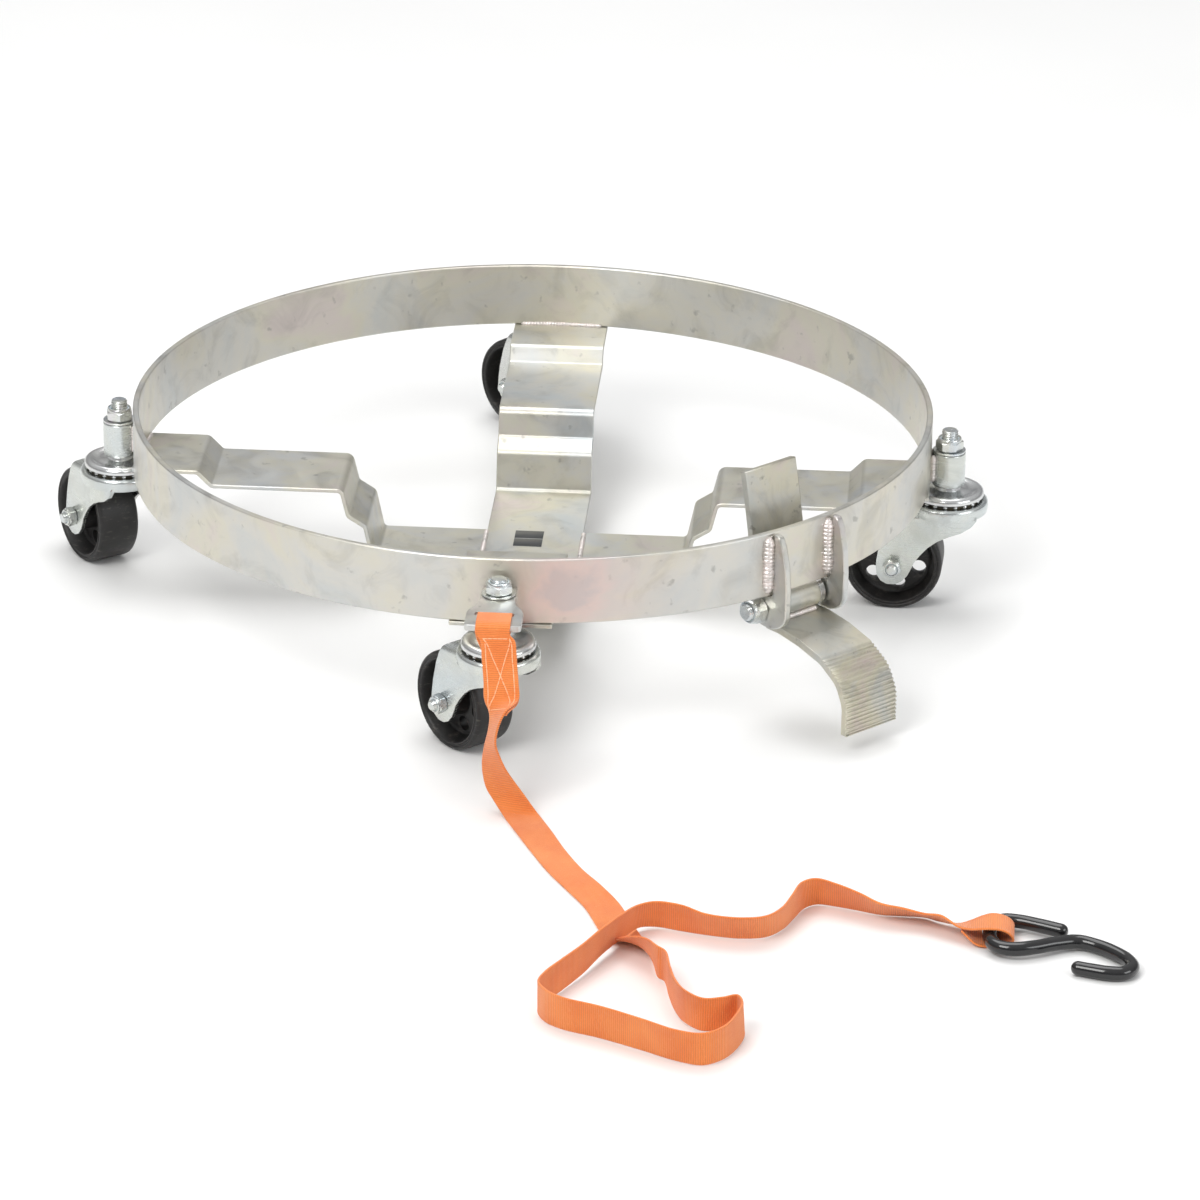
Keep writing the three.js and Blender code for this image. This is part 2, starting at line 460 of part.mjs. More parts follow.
{
  const path = new THREE.CatmullRomCurve3(HOOK_PATH.map((p) => new THREE.Vector3(p[0], p[1], p[2])), false, 'centripetal');
  const section = new THREE.Shape();
  for (let k = 0; k < 10; k++) {
    const a = (k / 10) * Math.PI * 2;
    if (k === 0) section.moveTo(HOOK_R * Math.cos(a), HOOK_R * Math.sin(a));
    else section.lineTo(HOOK_R * Math.cos(a), HOOK_R * Math.sin(a));
  }
  section.closePath();
  add('s_hook', new THREE.ExtrudeGeometry(section, { steps: 44, extrudePath: path, bevelEnabled: false }), vinyl());
}

export default object;
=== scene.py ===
import math
import random

import bpy
import bmesh
from mathutils import Matrix, Vector, noise


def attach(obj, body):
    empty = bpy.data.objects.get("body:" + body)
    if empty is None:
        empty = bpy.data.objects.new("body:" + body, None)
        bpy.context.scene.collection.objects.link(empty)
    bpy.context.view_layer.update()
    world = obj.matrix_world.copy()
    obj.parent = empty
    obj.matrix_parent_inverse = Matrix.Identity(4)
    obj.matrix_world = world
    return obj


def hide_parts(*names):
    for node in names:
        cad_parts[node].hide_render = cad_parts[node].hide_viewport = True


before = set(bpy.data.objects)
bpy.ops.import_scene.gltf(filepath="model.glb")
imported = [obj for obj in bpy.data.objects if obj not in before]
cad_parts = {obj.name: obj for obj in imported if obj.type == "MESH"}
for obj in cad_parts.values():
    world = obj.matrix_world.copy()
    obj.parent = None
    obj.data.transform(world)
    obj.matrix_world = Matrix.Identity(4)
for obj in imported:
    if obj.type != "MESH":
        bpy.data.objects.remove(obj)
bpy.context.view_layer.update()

MM = 0.001
rng = random.Random(11)
scene = bpy.context.scene

# ---------------------------------------------------------------- dimensions, as in the CAD
RING_ID, RING_WALL, RING_H, RING_Z = 609.6, 4.8, 50.8, 104.5
BAR_W, BAR_T, BAR_LOW, BAR_MID, BAR_TOP = 76.2, 3.2, 32.5, 93.0, 104.1
CASTER_R, SLEEVE_R, SLEEVE_BORE, SLEEVE_Z = 323.2, 12.7, 6.9, (101.4, 128.4)
STEM_R, STEM_TOP, WHEEL_R, AXLE_Z, TRAIL = 6.35, 146.3, 38.1, 38.1, 40.0
FORK_IN, FORK_T = 18.4, 3.0
PIVOT_R, PIVOT_Z, EAR_T, EAR_GAP, LEVER_W, LEVER_T = 297.0, 91.0, 5.2, 53.4, 50.8, 6.0
GAP, HOOK_R, STRAP_T = 0.3, 5.1, 1.6
CASTERS = [("strap_side", -135, 87.4), ("right", -45, 132), ("back", 45, 96), ("left", 135, 80.5)]
RI, RO = RING_ID / 2, RING_ID / 2 + RING_WALL

STRAP_A = [
    (-280.87, -272.05, 107.48), (-278.95, -268.63, 115.75), (-276.9, -259.65, 124.4), (-273.79, -256.54, 127.0),
    (-267.43, -250.17, 127.0), (-264.46, -247.2, 127.2), (-263.11, -245.86, 128.9), (-262.83, -245.58, 131.2),
    (-263.33, -246.07, 133.6), (-264.74, -247.49, 135.0), (-267.43, -250.17, 135.2), (-272.38, -255.12, 135.3),
    (-277.33, -260.07, 135.0), (-279.59, -262.34, 133.0), (-280.3, -263.04, 128.5), (-279.1, -267.49, 123.51),
    (-281.53, -272.13, 111.37), (-285.45, -278.82, 97.39), (-288.71, -283.34, 86.44), (-286.68, -287.49, 74.35),
    (-287.15, -287.02, 62.41), (-289.15, -285.02, 49.55), (-290.4, -283.77, 37.51), (-289.95, -284.22, 26.35),
    (-288.59, -286.29, 16.28), (-286.57, -291.84, 8.06), (-289.41, -306.45, 1.4), (-300.29, -333.76, 1.1),
    (-311.99, -362.95, 1.1), (-324.57, -396.27, 1.1), (-333.78, -427.61, 1.1), (-342.76, -457.8, 1.1),
    (-358.14, -490.56, 1.1), (-364.99, -508.08, 1.09), (-370.41, -523.08, 10.72), (-373.07, -541.71, 20.66),
    (-373.79, -557.17, 25.36), (-376.95, -572.83, 26.54), (-377.37, -580.93, 26.38), (-390.96, -601.36, 26.42),
    (-401.9, -619.77, 26.41), (-406.94, -635.07, 26.41), (-405.54, -651.76, 26.49), (-394.67, -658.87, 26.48),
    (-384.37, -662.6, 26.45), (-388.27, -671.92, 26.44), (-404.32, -683.58, 26.47), (-424.35, -691.71, 26.47),
    (-440.5, -689.65, 26.43), (-450.44, -674.7, 26.29), (-457.83, -646.68, 26.38), (-466.84, -616.18, 26.45),
    (-477.79, -589.7, 26.45), (-478.84, -573.32, 26.49), (-473.54, -560.17, 26.42), (-461.21, -552.79, 26.42),
    (-440.3, -546.27, 26.67), (-416.5, -539.7, 27.37), (-390.64, -530.94, 28.47), (-366.04, -522.79, 28.01),
    (-344.43, -516.14, 26.04), (-330.44, -519.25, 25.54), (-320.27, -534.02, 25.22), (-313.85, -552.95, 23.39),
    (-299.6, -572.4, 23.18), (-283.87, -581.93, 23.39), (-266.82, -579.78, 23.8), (-249.06, -570.76, 24.53),
    (-230.7, -561.17, 25.34), (-219.15, -563.16, 25.22), (-212.1, -578.29, 24.01), (-206.73, -595.2, 21.68),
    (-202.58, -611.32, 18.66), (-192.77, -624.41, 16.64), (-184.33, -636.91, 14.44), (-180.36, -649.8, 16.52),
    (-177.02, -664.22, 12.17), (-174.26, -673.48, 12.74), (-170.88, -680.7, 14.62), (-166.52, -686.25, 15.2),
    (-161.79, -691.41, 14.6), (-157.83, -695.51, 11.6), (-156.13, -697.21, 7.6), (-157.47, -695.72, 3.9),
    (-160.94, -691.97, 1.7), (-167.16, -685.47, 1.25), (-173.4, -678.3, 2.6), (-176.8, -666.7, 9.9),
]
STRAP_B = [
    (-262.91, -290.01, 108.02), (-261.01, -286.59, 116.47), (-258.94, -277.61, 124.4), (-255.83, -274.5, 127.0),
    (-249.47, -268.13, 127.0), (-246.5, -265.17, 127.2), (-245.15, -263.82, 128.9), (-244.87, -263.54, 131.2),
    (-245.37, -264.03, 133.6), (-246.78, -265.45, 135.0), (-249.47, -268.13, 135.2), (-254.42, -273.08, 135.3),
    (-259.37, -278.03, 135.0), (-261.63, -280.3, 133.0), (-262.34, -281.0, 128.5), (-261.16, -285.44, 124.45),
    (-263.58, -290.09, 111.91), (-267.49, -296.78, 97.93), (-270.76, -301.29, 86.98), (-291.22, -310.03, 85.14),
    (-295.92, -307.9, 73.91), (-296.87, -306.35, 60.97), (-292.64, -306.48, 48.66), (-286.96, -307.14, 36.87),
    (-279.7, -308.21, 25.52), (-275.1, -312.96, 16.27), (-269.8, -322.53, 2.81), (-280.73, -349.9, 2.47),
    (-292.79, -379.58, 1.36), (-305.17, -412.63, 2.18), (-314.04, -443.37, 3.74), (-319.77, -468.59, 1.2),
    (-334.68, -500.29, 1.2), (-339.97, -512.47, 1.21), (-348.38, -531.4, 1.2), (-357.62, -546.99, 1.2),
    (-366.44, -559.93, 1.2), (-375.25, -573.32, 1.2), (-375.43, -579.35, 1.1), (-389.14, -600.44, 1.1),
    (-399.96, -618.74, 1.1), (-405.7, -633.33, 1.1), (-405.21, -651.07, 1.1), (-393.8, -658.64, 1.1),
    (-383.0, -661.86, 1.1), (-386.57, -672.34, 1.1), (-403.77, -684.74, 1.1), (-423.26, -691.23, 1.1),
    (-438.9, -688.56, 1.1), (-447.96, -672.54, 1.1), (-455.94, -645.09, 1.1), (-465.56, -615.18, 1.1),
    (-476.62, -588.73, 1.1), (-478.24, -572.94, 1.1), (-472.05, -558.74, 1.1), (-459.76, -551.44, 1.1),
    (-438.43, -544.48, 1.4), (-413.25, -536.37, 2.4), (-385.08, -525.02, 4.4), (-358.81, -516.08, 4.6),
    (-335.88, -509.06, 3.2), (-324.05, -513.66, 1.6), (-315.19, -527.89, 1.1), (-305.41, -544.18, 1.1),
    (-290.83, -563.42, 1.1), (-275.29, -573.29, 1.1), (-258.72, -571.75, 1.1), (-241.55, -564.47, 1.1),
    (-224.26, -557.14, 1.1), (-212.85, -558.31, 1.1), (-204.18, -570.71, 1.1), (-197.16, -583.8, 1.1),
    (-189.61, -598.34, 1.1), (-178.58, -610.19, 1.1), (-168.96, -621.45, 1.4), (-165.57, -635.11, 2.0),
    (-160.27, -647.46, 3.03), (-156.66, -655.88, 7.66), (-152.98, -662.8, 12.58), (-148.56, -668.29, 15.2),
    (-143.83, -673.45, 14.6), (-139.87, -677.55, 11.6), (-138.17, -679.25, 7.6), (-139.51, -677.76, 3.9),
    (-142.98, -674.01, 1.7), (-149.2, -667.51, 1.25), (-155.5, -660.4, 2.2), (-159.9, -649.8, 1.6),
]
HOOK = [
    (-119.64, -707.72, 7.7), (-125.39, -692.73, 7.7), (-132.24, -677.81, 7.7), (-139.78, -670.53, 7.7),
    (-150.69, -671.71, 7.7), (-163.82, -681.18, 7.7), (-170.99, -695.48, 7.7), (-166.25, -706.48, 7.7),
    (-151.77, -714.48, 7.7), (-134.35, -719.58, 7.2), (-121.11, -725.98, 6.6), (-115.01, -737.58, 6.0),
    (-112.54, -752.72, 5.6), (-113.61, -767.38, 5.4), (-119.18, -776.75, 5.4), (-129.46, -779.16, 5.4),
    (-137.96, -772.09, 5.4), (-143.73, -762.31, 5.4), (-148.45, -753.4, 5.4),
]

# ---------------------------------------------------------------- camera
cam_data = bpy.data.cameras.new("camera")
cam = bpy.data.objects.new("camera", cam_data)
scene.collection.objects.link(cam)
az, el, roll = math.radians(-41.41), math.radians(23.43), math.radians(0.75)
back = Vector((math.sin(az) * math.cos(el), -math.cos(az) * math.cos(el), math.sin(el)))
right0 = Vector((math.cos(az), math.sin(az), 0))
up0 = back.cross(right0)
right = right0 * math.cos(roll) + up0 * math.sin(roll)
up = up0 * math.cos(roll) - right0 * math.sin(roll)
rot = Matrix((right, up, back)).transposed()
cam.matrix_world = Matrix.Translation((-3.0426, -3.5312, 2.0100)) @ rot.to_4x4()
cam_data.sensor_width = 36
cam_data.lens = 194.13
cam_data.clip_end = 60
scene.camera = cam


# ---------------------------------------------------------------- node helpers
class Mat:
    def __init__(self, name):
        self.m = bpy.data.materials.new(name)
        self.m.use_nodes = True
        self.t = self.m.node_tree
        self.b = self.t.nodes["Principled BSDF"]

    def n(self, kind, **kw):
        node = self.t.nodes.new(kind)
        for k, v in kw.items():
            if k in node.inputs:
                node.inputs[k].default_value = v
            else:
                setattr(node, k, v)
        return node

    def l(self, a, b):
        self.t.links.new(a, b)

    def coord(self, scale=(1, 1, 1)):
        c = self.n("ShaderNodeTexCoord")
        mp = self.n("ShaderNodeMapping")
        mp.inputs["Scale"].default_value = scale
        self.l(c.outputs["Object"], mp.inputs["Vector"])
        return mp.outputs["Vector"]

    def noise(self, vec, scale, detail=4, rough=0.55, distortion=0.0):
        k = self.n("ShaderNodeTexNoise")
        k.inputs["Scale"].default_value = scale
        k.inputs["Detail"].default_value = detail
        k.inputs["Roughness"].default_value = rough
        k.inputs["Distortion"].default_value = distortion
        self.l(vec, k.inputs["Vector"])
        return k.outputs["Fac"]

    def ramp(self, fac, stops, interp="LINEAR"):
        r = self.n("ShaderNodeValToRGB")
        r.color_ramp.interpolation = interp
        e = r.color_ramp.elements
        while len(e) < len(stops):
            e.new(0.5)
        for el_, (p, c) in zip(e, stops):
            el_.position = p
            el_.color = (c, c, c, 1) if isinstance(c, (int, float)) else (*c, 1)
        self.l(fac, r.inputs["Fac"])
        return r.outputs["Color"]

    def mix(self, a, b, fac, mode="MIX"):
        k = self.n("ShaderNodeMix")
        k.data_type = "RGBA"
        k.blend_type = mode
        if isinstance(fac, (int, float)):
            k.inputs[0].default_value = fac
        else:
            self.l(fac, k.inputs[0])
        for s, v in ((6, a), (7, b)):
            if isinstance(v, tuple):
                k.inputs[s].default_value = (*v, 1)
            else:
                self.l(v, k.inputs[s])
        return k.outputs[2]

    def math(self, op, a, b=0.0):
        k = self.n("ShaderNodeMath")
        k.operation = op
        for s, v in ((0, a), (1, b)):
            if isinstance(v, (int, float)):
                k.inputs[s].default_value = v
            else:
                self.l(v, k.inputs[s])
        return k.outputs[0]

    def bump(self, height, strength, distance, normal=None):
        k = self.n("ShaderNodeBump")
        k.inputs["Strength"].default_value = strength
        k.inputs["Distance"].default_value = distance
        self.l(height, k.inputs["Height"])
        if normal is not None:
            self.l(normal, k.inputs["Normal"])
        return k.outputs["Normal"]

    def rng(self, fac, lo, hi):
        k = self.n("ShaderNodeMapRange")
        k.inputs["To Min"].default_value = lo
        k.inputs["To Max"].default_value = hi
        self.l(fac, k.inputs["Value"])
        return k.outputs["Result"]


def zinc(name, base, tint=1.0, rough=(0.26, 0.5), scale=1.0, dirt=0.35, metallic=0.92, bump=0.12, heat=None, wave=0.25):
    """Bright zinc plate: cloudy yellow, blue and pink bloom, spangle, fine scratches and dull spots."""
    k = Mat(name)
    v = k.coord()
    cloud = k.noise(v, 11 * scale, 5, 0.6, 0.6)
    cloud2 = k.noise(v, 26 * scale, 4, 0.6, 1.2)
    b = Vector(base)
    yel = tuple(b * 1.0 + Vector((0.035, 0.015, -0.06)) * tint)
    blu = tuple(b * 0.97 + Vector((-0.05, -0.012, 0.035)) * tint)
    pnk = tuple(b * 0.99 + Vector((0.045, -0.03, -0.01)) * tint)
    col = k.ramp(cloud, [(0.33, blu), (0.45, tuple(b)), (0.55, yel), (0.68, pnk)])
    shade = k.ramp(cloud2, [(0.30, 0.78), (0.5, 0.97), (0.72, 1.0)])
    col = k.mix(col, shade, 0.85, "MULTIPLY")
    spots = k.ramp(k.noise(v, 95 * scale, 3, 0.5), [(0.26, 1.0), (0.34, 0.0)])
    col = k.mix(col, tuple(b * 0.42), k.math("MULTIPLY", spots, dirt))
    if heat:
        # a welded seam: straw, pink and grey bands fading out to each side
        centre, radius = heat
        g = k.n("ShaderNodeVectorMath", operation="DISTANCE")
        k.l(v, g.inputs[0])
        g.inputs[1].default_value = centre
        wob = k.math("ADD", g.outputs["Value"], k.math("MULTIPLY", k.math("SUBTRACT", cloud, 0.5), radius * 2.4))
        d = k.math("DIVIDE", wob, radius)
        band = k.ramp(d, [(0.0, (0.60, 0.555, 0.55)), (0.25, (0.73, 0.605, 0.575)), (0.5, (0.665, 0.615, 0.59)), (0.72, (0.73, 0.64, 0.605)), (1.0, tuple(b))])
        mask = k.ramp(d, [(0.0, 0.85), (0.5, 0.45), (1.0, 0.0)])
        col = k.mix(col, band, mask)
    k.l(col, k.b.inputs["Base Color"])
    scr = k.noise(k.coord((6, 6, 260)), 9 * scale, 3, 0.7)
    r = k.math("ADD", k.rng(cloud2, rough[0], rough[1]), k.math("MULTIPLY", k.math("SUBTRACT", scr, 0.5), 0.12))
    k.l(r, k.b.inputs["Roughness"])
    k.b.inputs["Metallic"].default_value = metallic
    fine = k.noise(v, 700 * scale, 2, 0.6)
    n1 = k.bump(fine, bump, 0.00025)
    n2 = k.bump(cloud2, wave, 0.0008, n1)
    k.l(k.bump(scr, 0.05, 0.0003, n2), k.b.inputs["Normal"])
    return k.m


M_RING = zinc("zinc_ring", (0.635, 0.622, 0.580), 0.62, (0.30, 0.50), heat=((-0.190, -0.250, 0.128), 0.062), dirt=0.5)
M_BAR = zinc("zinc_bar", (0.60, 0.60, 0.575), 0.8, (0.30, 0.52), dirt=0.5)
M_CASTER = zinc("zinc_caster", (0.635, 0.665, 0.655), 0.5, (0.20, 0.33), dirt=0.22, bump=0.03, wave=0.06)
M_RACE = zinc("zinc_raceway", (0.70, 0.71, 0.71), 0.25, (0.17, 0.27), dirt=0.08, bump=0.02, wave=0.03)
M_FAST = zinc("zinc_fastener", (0.66, 0.69, 0.70), 0.7, (0.18, 0.32), scale=3, dirt=0.25, bump=0.03, wave=0.04)
M_LEVER = zinc("zinc_lever", (0.59, 0.575, 0.515), 0.7, (0.30, 0.50), scale=1.6, dirt=0.6, wave=0.12)
M_EDGE = zinc("zinc_ear", (0.62, 0.62, 0.60), 0.5, (0.26, 0.42), scale=1.8, dirt=0.4, wave=0.10)


def weld_material():
    k = Mat("weld_zinc")
    v = k.coord()
    c = k.noise(v, 160, 4, 0.6)
    col = k.ramp(c, [(0.28, (0.42, 0.40, 0.38)), (0.42, (0.70, 0.66, 0.63)), (0.60, (0.80, 0.725, 0.70)), (0.8, (0.88, 0.87, 0.86))])
    k.l(col, k.b.inputs["Base Color"])
    k.b.inputs["Metallic"].default_value = 0.75
    k.l(k.rng(c, 0.22, 0.5), k.b.inputs["Roughness"])
    k.l(k.bump(k.noise(v, 900, 3), 0.35, 0.0005), k.b.inputs["Normal"])
    return k.m


def grease_material():
    k = Mat("dark_grease")
    v = k.coord()
    c = k.noise(v, 240, 3)
    k.l(k.ramp(c, [(0.35, (0.014, 0.012, 0.008)), (0.7, (0.075, 0.062, 0.035))]), k.b.inputs["Base Color"])
    k.l(k.rng(c, 0.22, 0.5), k.b.inputs["Roughness"])
    return k.m


def nylon_material():
    k = Mat("nylon_insert")
    v = k.coord()
    c = k.noise(v, 300, 2)
    k.l(k.ramp(c, [(0.3, (0.50, 0.56, 0.58)), (0.7, (0.62, 0.67, 0.68))]), k.b.inputs["Base Color"])
    k.b.inputs["Roughness"].default_value = 0.42
    k.b.inputs["Subsurface Weight"].default_value = 0.1
    return k.m


def wheel_material():
    k = Mat("black_wheel_plastic")
    v = k.coord()
    c = k.noise(v, 42, 5, 0.65, 0.8)
    f = k.noise(v, 420, 3, 0.6)
    base = k.ramp(c, [(0.35, (0.0056, 0.0053, 0.0052)), (0.6, (0.0106, 0.0096, 0.0090)), (0.78, (0.0297, 0.0254, 0.0220))])
    dust = k.ramp(k.noise(k.coord((1, 1, 3)), 120, 5, 0.75), [(0.56, 0.0), (0.72, 0.55)])
    k.l(k.mix(base, (0.12, 0.105, 0.09), dust), k.b.inputs["Base Color"])
    k.l(k.rng(c, 0.34, 0.6), k.b.inputs["Roughness"])
    k.l(k.bump(f, 0.22, 0.0003, k.bump(c, 0.15, 0.0008)), k.b.inputs["Normal"])
    return k.m


def vinyl_material():
    k = Mat("black_vinyl_dip")
    v = k.coord()
    c = k.noise(v, 70, 3)
    k.l(k.ramp(c, [(0.3, (0.006, 0.006, 0.0065)), (0.75, (0.014, 0.014, 0.015))]), k.b.inputs["Base Color"])
    k.l(k.rng(c, 0.10, 0.2), k.b.inputs["Roughness"])
    k.b.inputs["Coat Weight"].default_value = 0.5
    k.b.inputs["Coat Roughness"].default_value = 0.08
    k.b.inputs["Specular IOR Level"].default_value = 0.4
    k.l(k.bump(c, 0.10, 0.0008, k.bump(k.noise(v, 600, 2), 0.03, 0.0002)), k.b.inputs["Normal"])
    return k.m


def webbing_material(name, a, b):
    """Woven polyester: ribs across the strap and a fine warp, laid out on the strap's own UVs (millimetres)."""
    k = Mat(name)
    uv = k.n("ShaderNodeUVMap", uv_map="weave")
    sep = k.n("ShaderNodeSeparateXYZ")
    k.l(uv.outputs["UV"], sep.inputs[0])
    ribs = k.math("SINE", k.math("MULTIPLY", sep.outputs["Y"], 2 * math.pi / 1.55))
    warp = k.math("SINE", k.math("MULTIPLY", sep.outputs["X"], 2 * math.pi / 0.95))
    cross = k.math("MULTIPLY", ribs, warp)
    h = k.math("ADD", k.math("MULTIPLY", ribs, 0.7), k.math("MULTIPLY", cross, 0.4))
    v = k.coord()
    tone = k.noise(v, 34, 4, 0.6)
    col = k.ramp(tone, [(0.32, a), (0.68, b)])
    # painted shade: the weave height darkens the base colour in the valleys between the ribs, where shade falls
    shade = k.rng(h, 0.0, 1.0)
    shade.node.inputs["From Min"].default_value = -1.1
    shade.node.inputs["From Max"].default_value = 1.1
    dark = k.ramp(shade, [(0.0, 0.60), (0.45, 0.95), (1.0, 1.0)])
    col = k.mix(col, dark, 0.9, "MULTIPLY")
    fuzz = k.noise(v, 900, 2)
    col = k.mix(col, (1.0, 0.62, 0.36), k.math("MULTIPLY", k.ramp(fuzz, [(0.6, 0.0), (0.8, 1.0)]), 0.25))
    k.l(col, k.b.inputs["Base Color"])
    k.b.inputs["Roughness"].default_value = 0.78
    k.b.inputs["Sheen Weight"].default_value = 0.35
    k.b.inputs["Sheen Roughness"].default_value = 0.5
    k.l(k.bump(h, 0.55, 0.00022, k.bump(fuzz, 0.2, 0.0002)), k.b.inputs["Normal"])
    return k.m


def simple_noisy(name, a, b, scale, rough, metallic=0.0):
    k = Mat(name)
    c = k.noise(k.coord(), scale, 4)
    k.l(k.ramp(c, [(0.3, a), (0.7, b)]), k.b.inputs["Base Color"])
    k.l(k.rng(c, rough * 0.8, rough * 1.15), k.b.inputs["Roughness"])
    k.b.inputs["Metallic"].default_value = metallic
    k.l(k.bump(k.noise(k.coord(), scale * 9, 2), 0.15, 0.0002), k.b.inputs["Normal"])
    return k.m


M_WELD, M_GREASE, M_NYLON = weld_material(), grease_material(), nylon_material()
M_WHEEL, M_VINYL = wheel_material(), vinyl_material()
M_WEB = webbing_material("orange_webbing", (0.80, 0.195, 0.034), (0.88, 0.260, 0.055))
M_THREAD = simple_noisy("stitch_thread", (0.98, 0.42, 0.20), (1.0, 0.56, 0.33), 260, 0.7)
M_LABEL = simple_noisy("plain_label", (0.016, 0.018, 0.02), (0.035, 0.038, 0.042), 60, 0.38)
M_LABEL2 = simple_noisy("label_rule", (0.30, 0.30, 0.29), (0.42, 0.42, 0.40), 60, 0.5)


# ---------------------------------------------------------------- mesh helpers
def obj_from(name, verts, faces, mat, M=None, bevel=0.0, angle=32, segs=2, uv=None, fix=True):
    me = bpy.data.meshes.new(name)
    me.from_pydata([tuple(Vector(p) * MM) for p in verts], [], faces)
    if M is not None:
        me.transform(Matrix.Translation(M.translation * MM) @ M.to_3x3().to_4x4())
    if fix:
        bm = bmesh.new()
        bm.from_mesh(me)
        bmesh.ops.remove_doubles(bm, verts=bm.verts, dist=1e-7)
        bmesh.ops.recalc_face_normals(bm, faces=bm.faces)
        bm.to_mesh(me)
        bm.free()
    me.materials.append(mat)
    me.shade_smooth()
    me.set_sharp_from_angle(angle=math.radians(angle))
    o = bpy.data.objects.new(name, me)
    scene.collection.objects.link(o)
    if bevel:
        add_bevel(o, bevel, angle, segs)
    return o


def add_bevel(o, width, angle=32, segs=2):
    b = o.modifiers.new("edge", "BEVEL")
    b.width = width * MM
    b.segments = segs
    b.limit_method = "ANGLE"
    b.angle_limit = math.radians(angle)
    b.harden_normals = False
    b.use_clamp_overlap = True
    return b


def apply_mods(o):
    dg = bpy.context.evaluated_depsgraph_get()
    me = bpy.data.meshes.new_from_object(o.evaluated_get(dg))
    o.modifiers.clear()
    o.data = me
    me.shade_smooth()
    me.set_sharp_from_angle(angle=math.radians(34))
    return o


def lathe(name, prof, seg, mat, M=None, closed=True, bevel=0.0, angle=32, rfun=None):
    verts, rings, faces = [], [], []
    for (r, z) in prof:
        if r < 1e-6:
            rings.append([len(verts)])
            verts.append((0, 0, z))
            continue
        ring = []
        for i in range(seg):
            a = 2 * math.pi * i / seg
            rr = rfun(r, z, a) if rfun else r
            ring.append(len(verts))
            verts.append((rr * math.cos(a), rr * math.sin(a), z))
        rings.append(ring)
    n = len(rings)
    for j in range(n if closed else n - 1):
        A, B = rings[j], rings[(j + 1) % n]
        if len(A) == 1 and len(B) == 1:
            continue
        for i in range(seg):
            k = (i + 1) % seg
            if len(A) == 1:
                faces.append((A[0], B[i], B[k]))
            elif len(B) == 1:
                faces.append((A[i], A[k], B[0]))
            else:
                faces.append((A[i], A[k], B[k], B[i]))
    return obj_from(name, verts, faces, mat, M, bevel, angle)


def rounded(points, radius, steps=8):
    out = [tuple(points[0])]
    for i in range(1, len(points) - 1):
        p, a, b = Vector(points[i]), Vector(points[i - 1]), Vector(points[i + 1])
        u, v = a - p, b - p
        lu, lv = u.length, v.length
        u /= lu
        v /= lv
        half = math.acos(max(-1, min(1, u.dot(v)))) / 2
        t = min(radius / math.tan(half), lu * 0.48, lv * 0.48)
        rr = t * math.tan(half)
        s, e = p + u * t, p + v * t
        c = p + (u + v).normalized() * (rr / math.sin(half))
        a0, a1 = math.atan2(s.y - c.y, s.x - c.x), math.atan2(e.y - c.y, e.x - c.x)
        d = a1 - a0
        while d > math.pi:
            d -= 2 * math.pi
        while d < -math.pi:
            d += 2 * math.pi
        for k in range(steps + 1):
            out.append((c.x + rr * math.cos(a0 + d * k / steps), c.y + rr * math.sin(a0 + d * k / steps)))
    out.append(tuple(points[-1]))
    return out


def resample(pts, step):
    out = [pts[0]]
    for a, b in zip(pts, pts[1:]):
        L = math.hypot(b[0] - a[0], b[1] - a[1])
        n = max(1, int(math.ceil(L / step)))
        for k in range(1, n + 1):
            out.append((a[0] + (b[0] - a[0]) * k / n, a[1] + (b[1] - a[1]) * k / n))
    return out


def upright(azimuth):
    a = math.radians(azimuth)
    d, u = Vector((math.cos(a), math.sin(a), 0)), Vector((0, 0, 1))
    return Matrix((d, u, d.cross(u))).transposed().to_4x4()


def bent_strip(name, centre, thickness, width, azimuth, mat, bevel=0.5, step=None, relief=None, across=2):
    """A flat bar bent along a centre line. relief(s, total) gives how far the outer face dips at arc length s."""
    if step:
        centre = resample(centre, step)
    P = [Vector(p) for p in centre]
    n = len(P)
    s = [0.0]
    for a, b in zip(P, P[1:]):
        s.append(s[-1] + (b - a).length)
    verts, faces, rings = [], [], []
    for i in range(n):
        d = (P[min(n - 1, i + 1)] - P[i]).normalized() + (P[i] - P[max(0, i - 1)]).normalized() if 0 < i < n - 1 else (P[min(n - 1, i + 1)] - P[max(0, i - 1)])
        d.normalize()
        nn = Vector((-d.y, d.x))
        dip = relief(s[i], s[-1]) if relief else 0.0
        top, bot = P[i] + nn * (thickness / 2 - dip), P[i] - nn * (thickness / 2)
        ring = []
        for k in range(across):
            z = -width / 2 + width * k / (across - 1)
            ring.append(len(verts)); verts.append((top.x, top.y, z))
        for k in range(across):
            z = width / 2 - width * k / (across - 1)
            ring.append(len(verts)); verts.append((bot.x, bot.y, z))
        rings.append(ring)
    m = 2 * across
    for A, B in zip(rings, rings[1:]):
        for k in range(m):
            faces.append((A[k], A[(k + 1) % m], B[(k + 1) % m], B[k]))
    faces.append(tuple(rings[0]))
    faces.append(tuple(reversed(rings[-1])))
    return obj_from(name, verts, faces, mat, upright(azimuth), bevel, 40)


def prism(name, outline, z0, z1, mat, M, bevel=0.4, angle=32):
    n = len(outline)
    verts = [(x, y, z0) for x, y in outline] + [(x, y, z1) for x, y in outline]
    faces = [tuple(range(n)), tuple(range(2 * n - 1, n - 1, -1))]
    faces += [(i, (i + 1) % n, n + (i + 1) % n, n + i) for i in range(n)]
    return obj_from(name, verts, faces, mat, M, bevel, angle)


def boolean(target, tool, op="DIFFERENCE"):
    m = target.modifiers.new("b", "BOOLEAN")
    m.operation = op
    m.solver = "EXACT"
    m.object = tool
    apply_mods(target)
    bpy.data.objects.remove(tool, do_unlink=True)
    return target


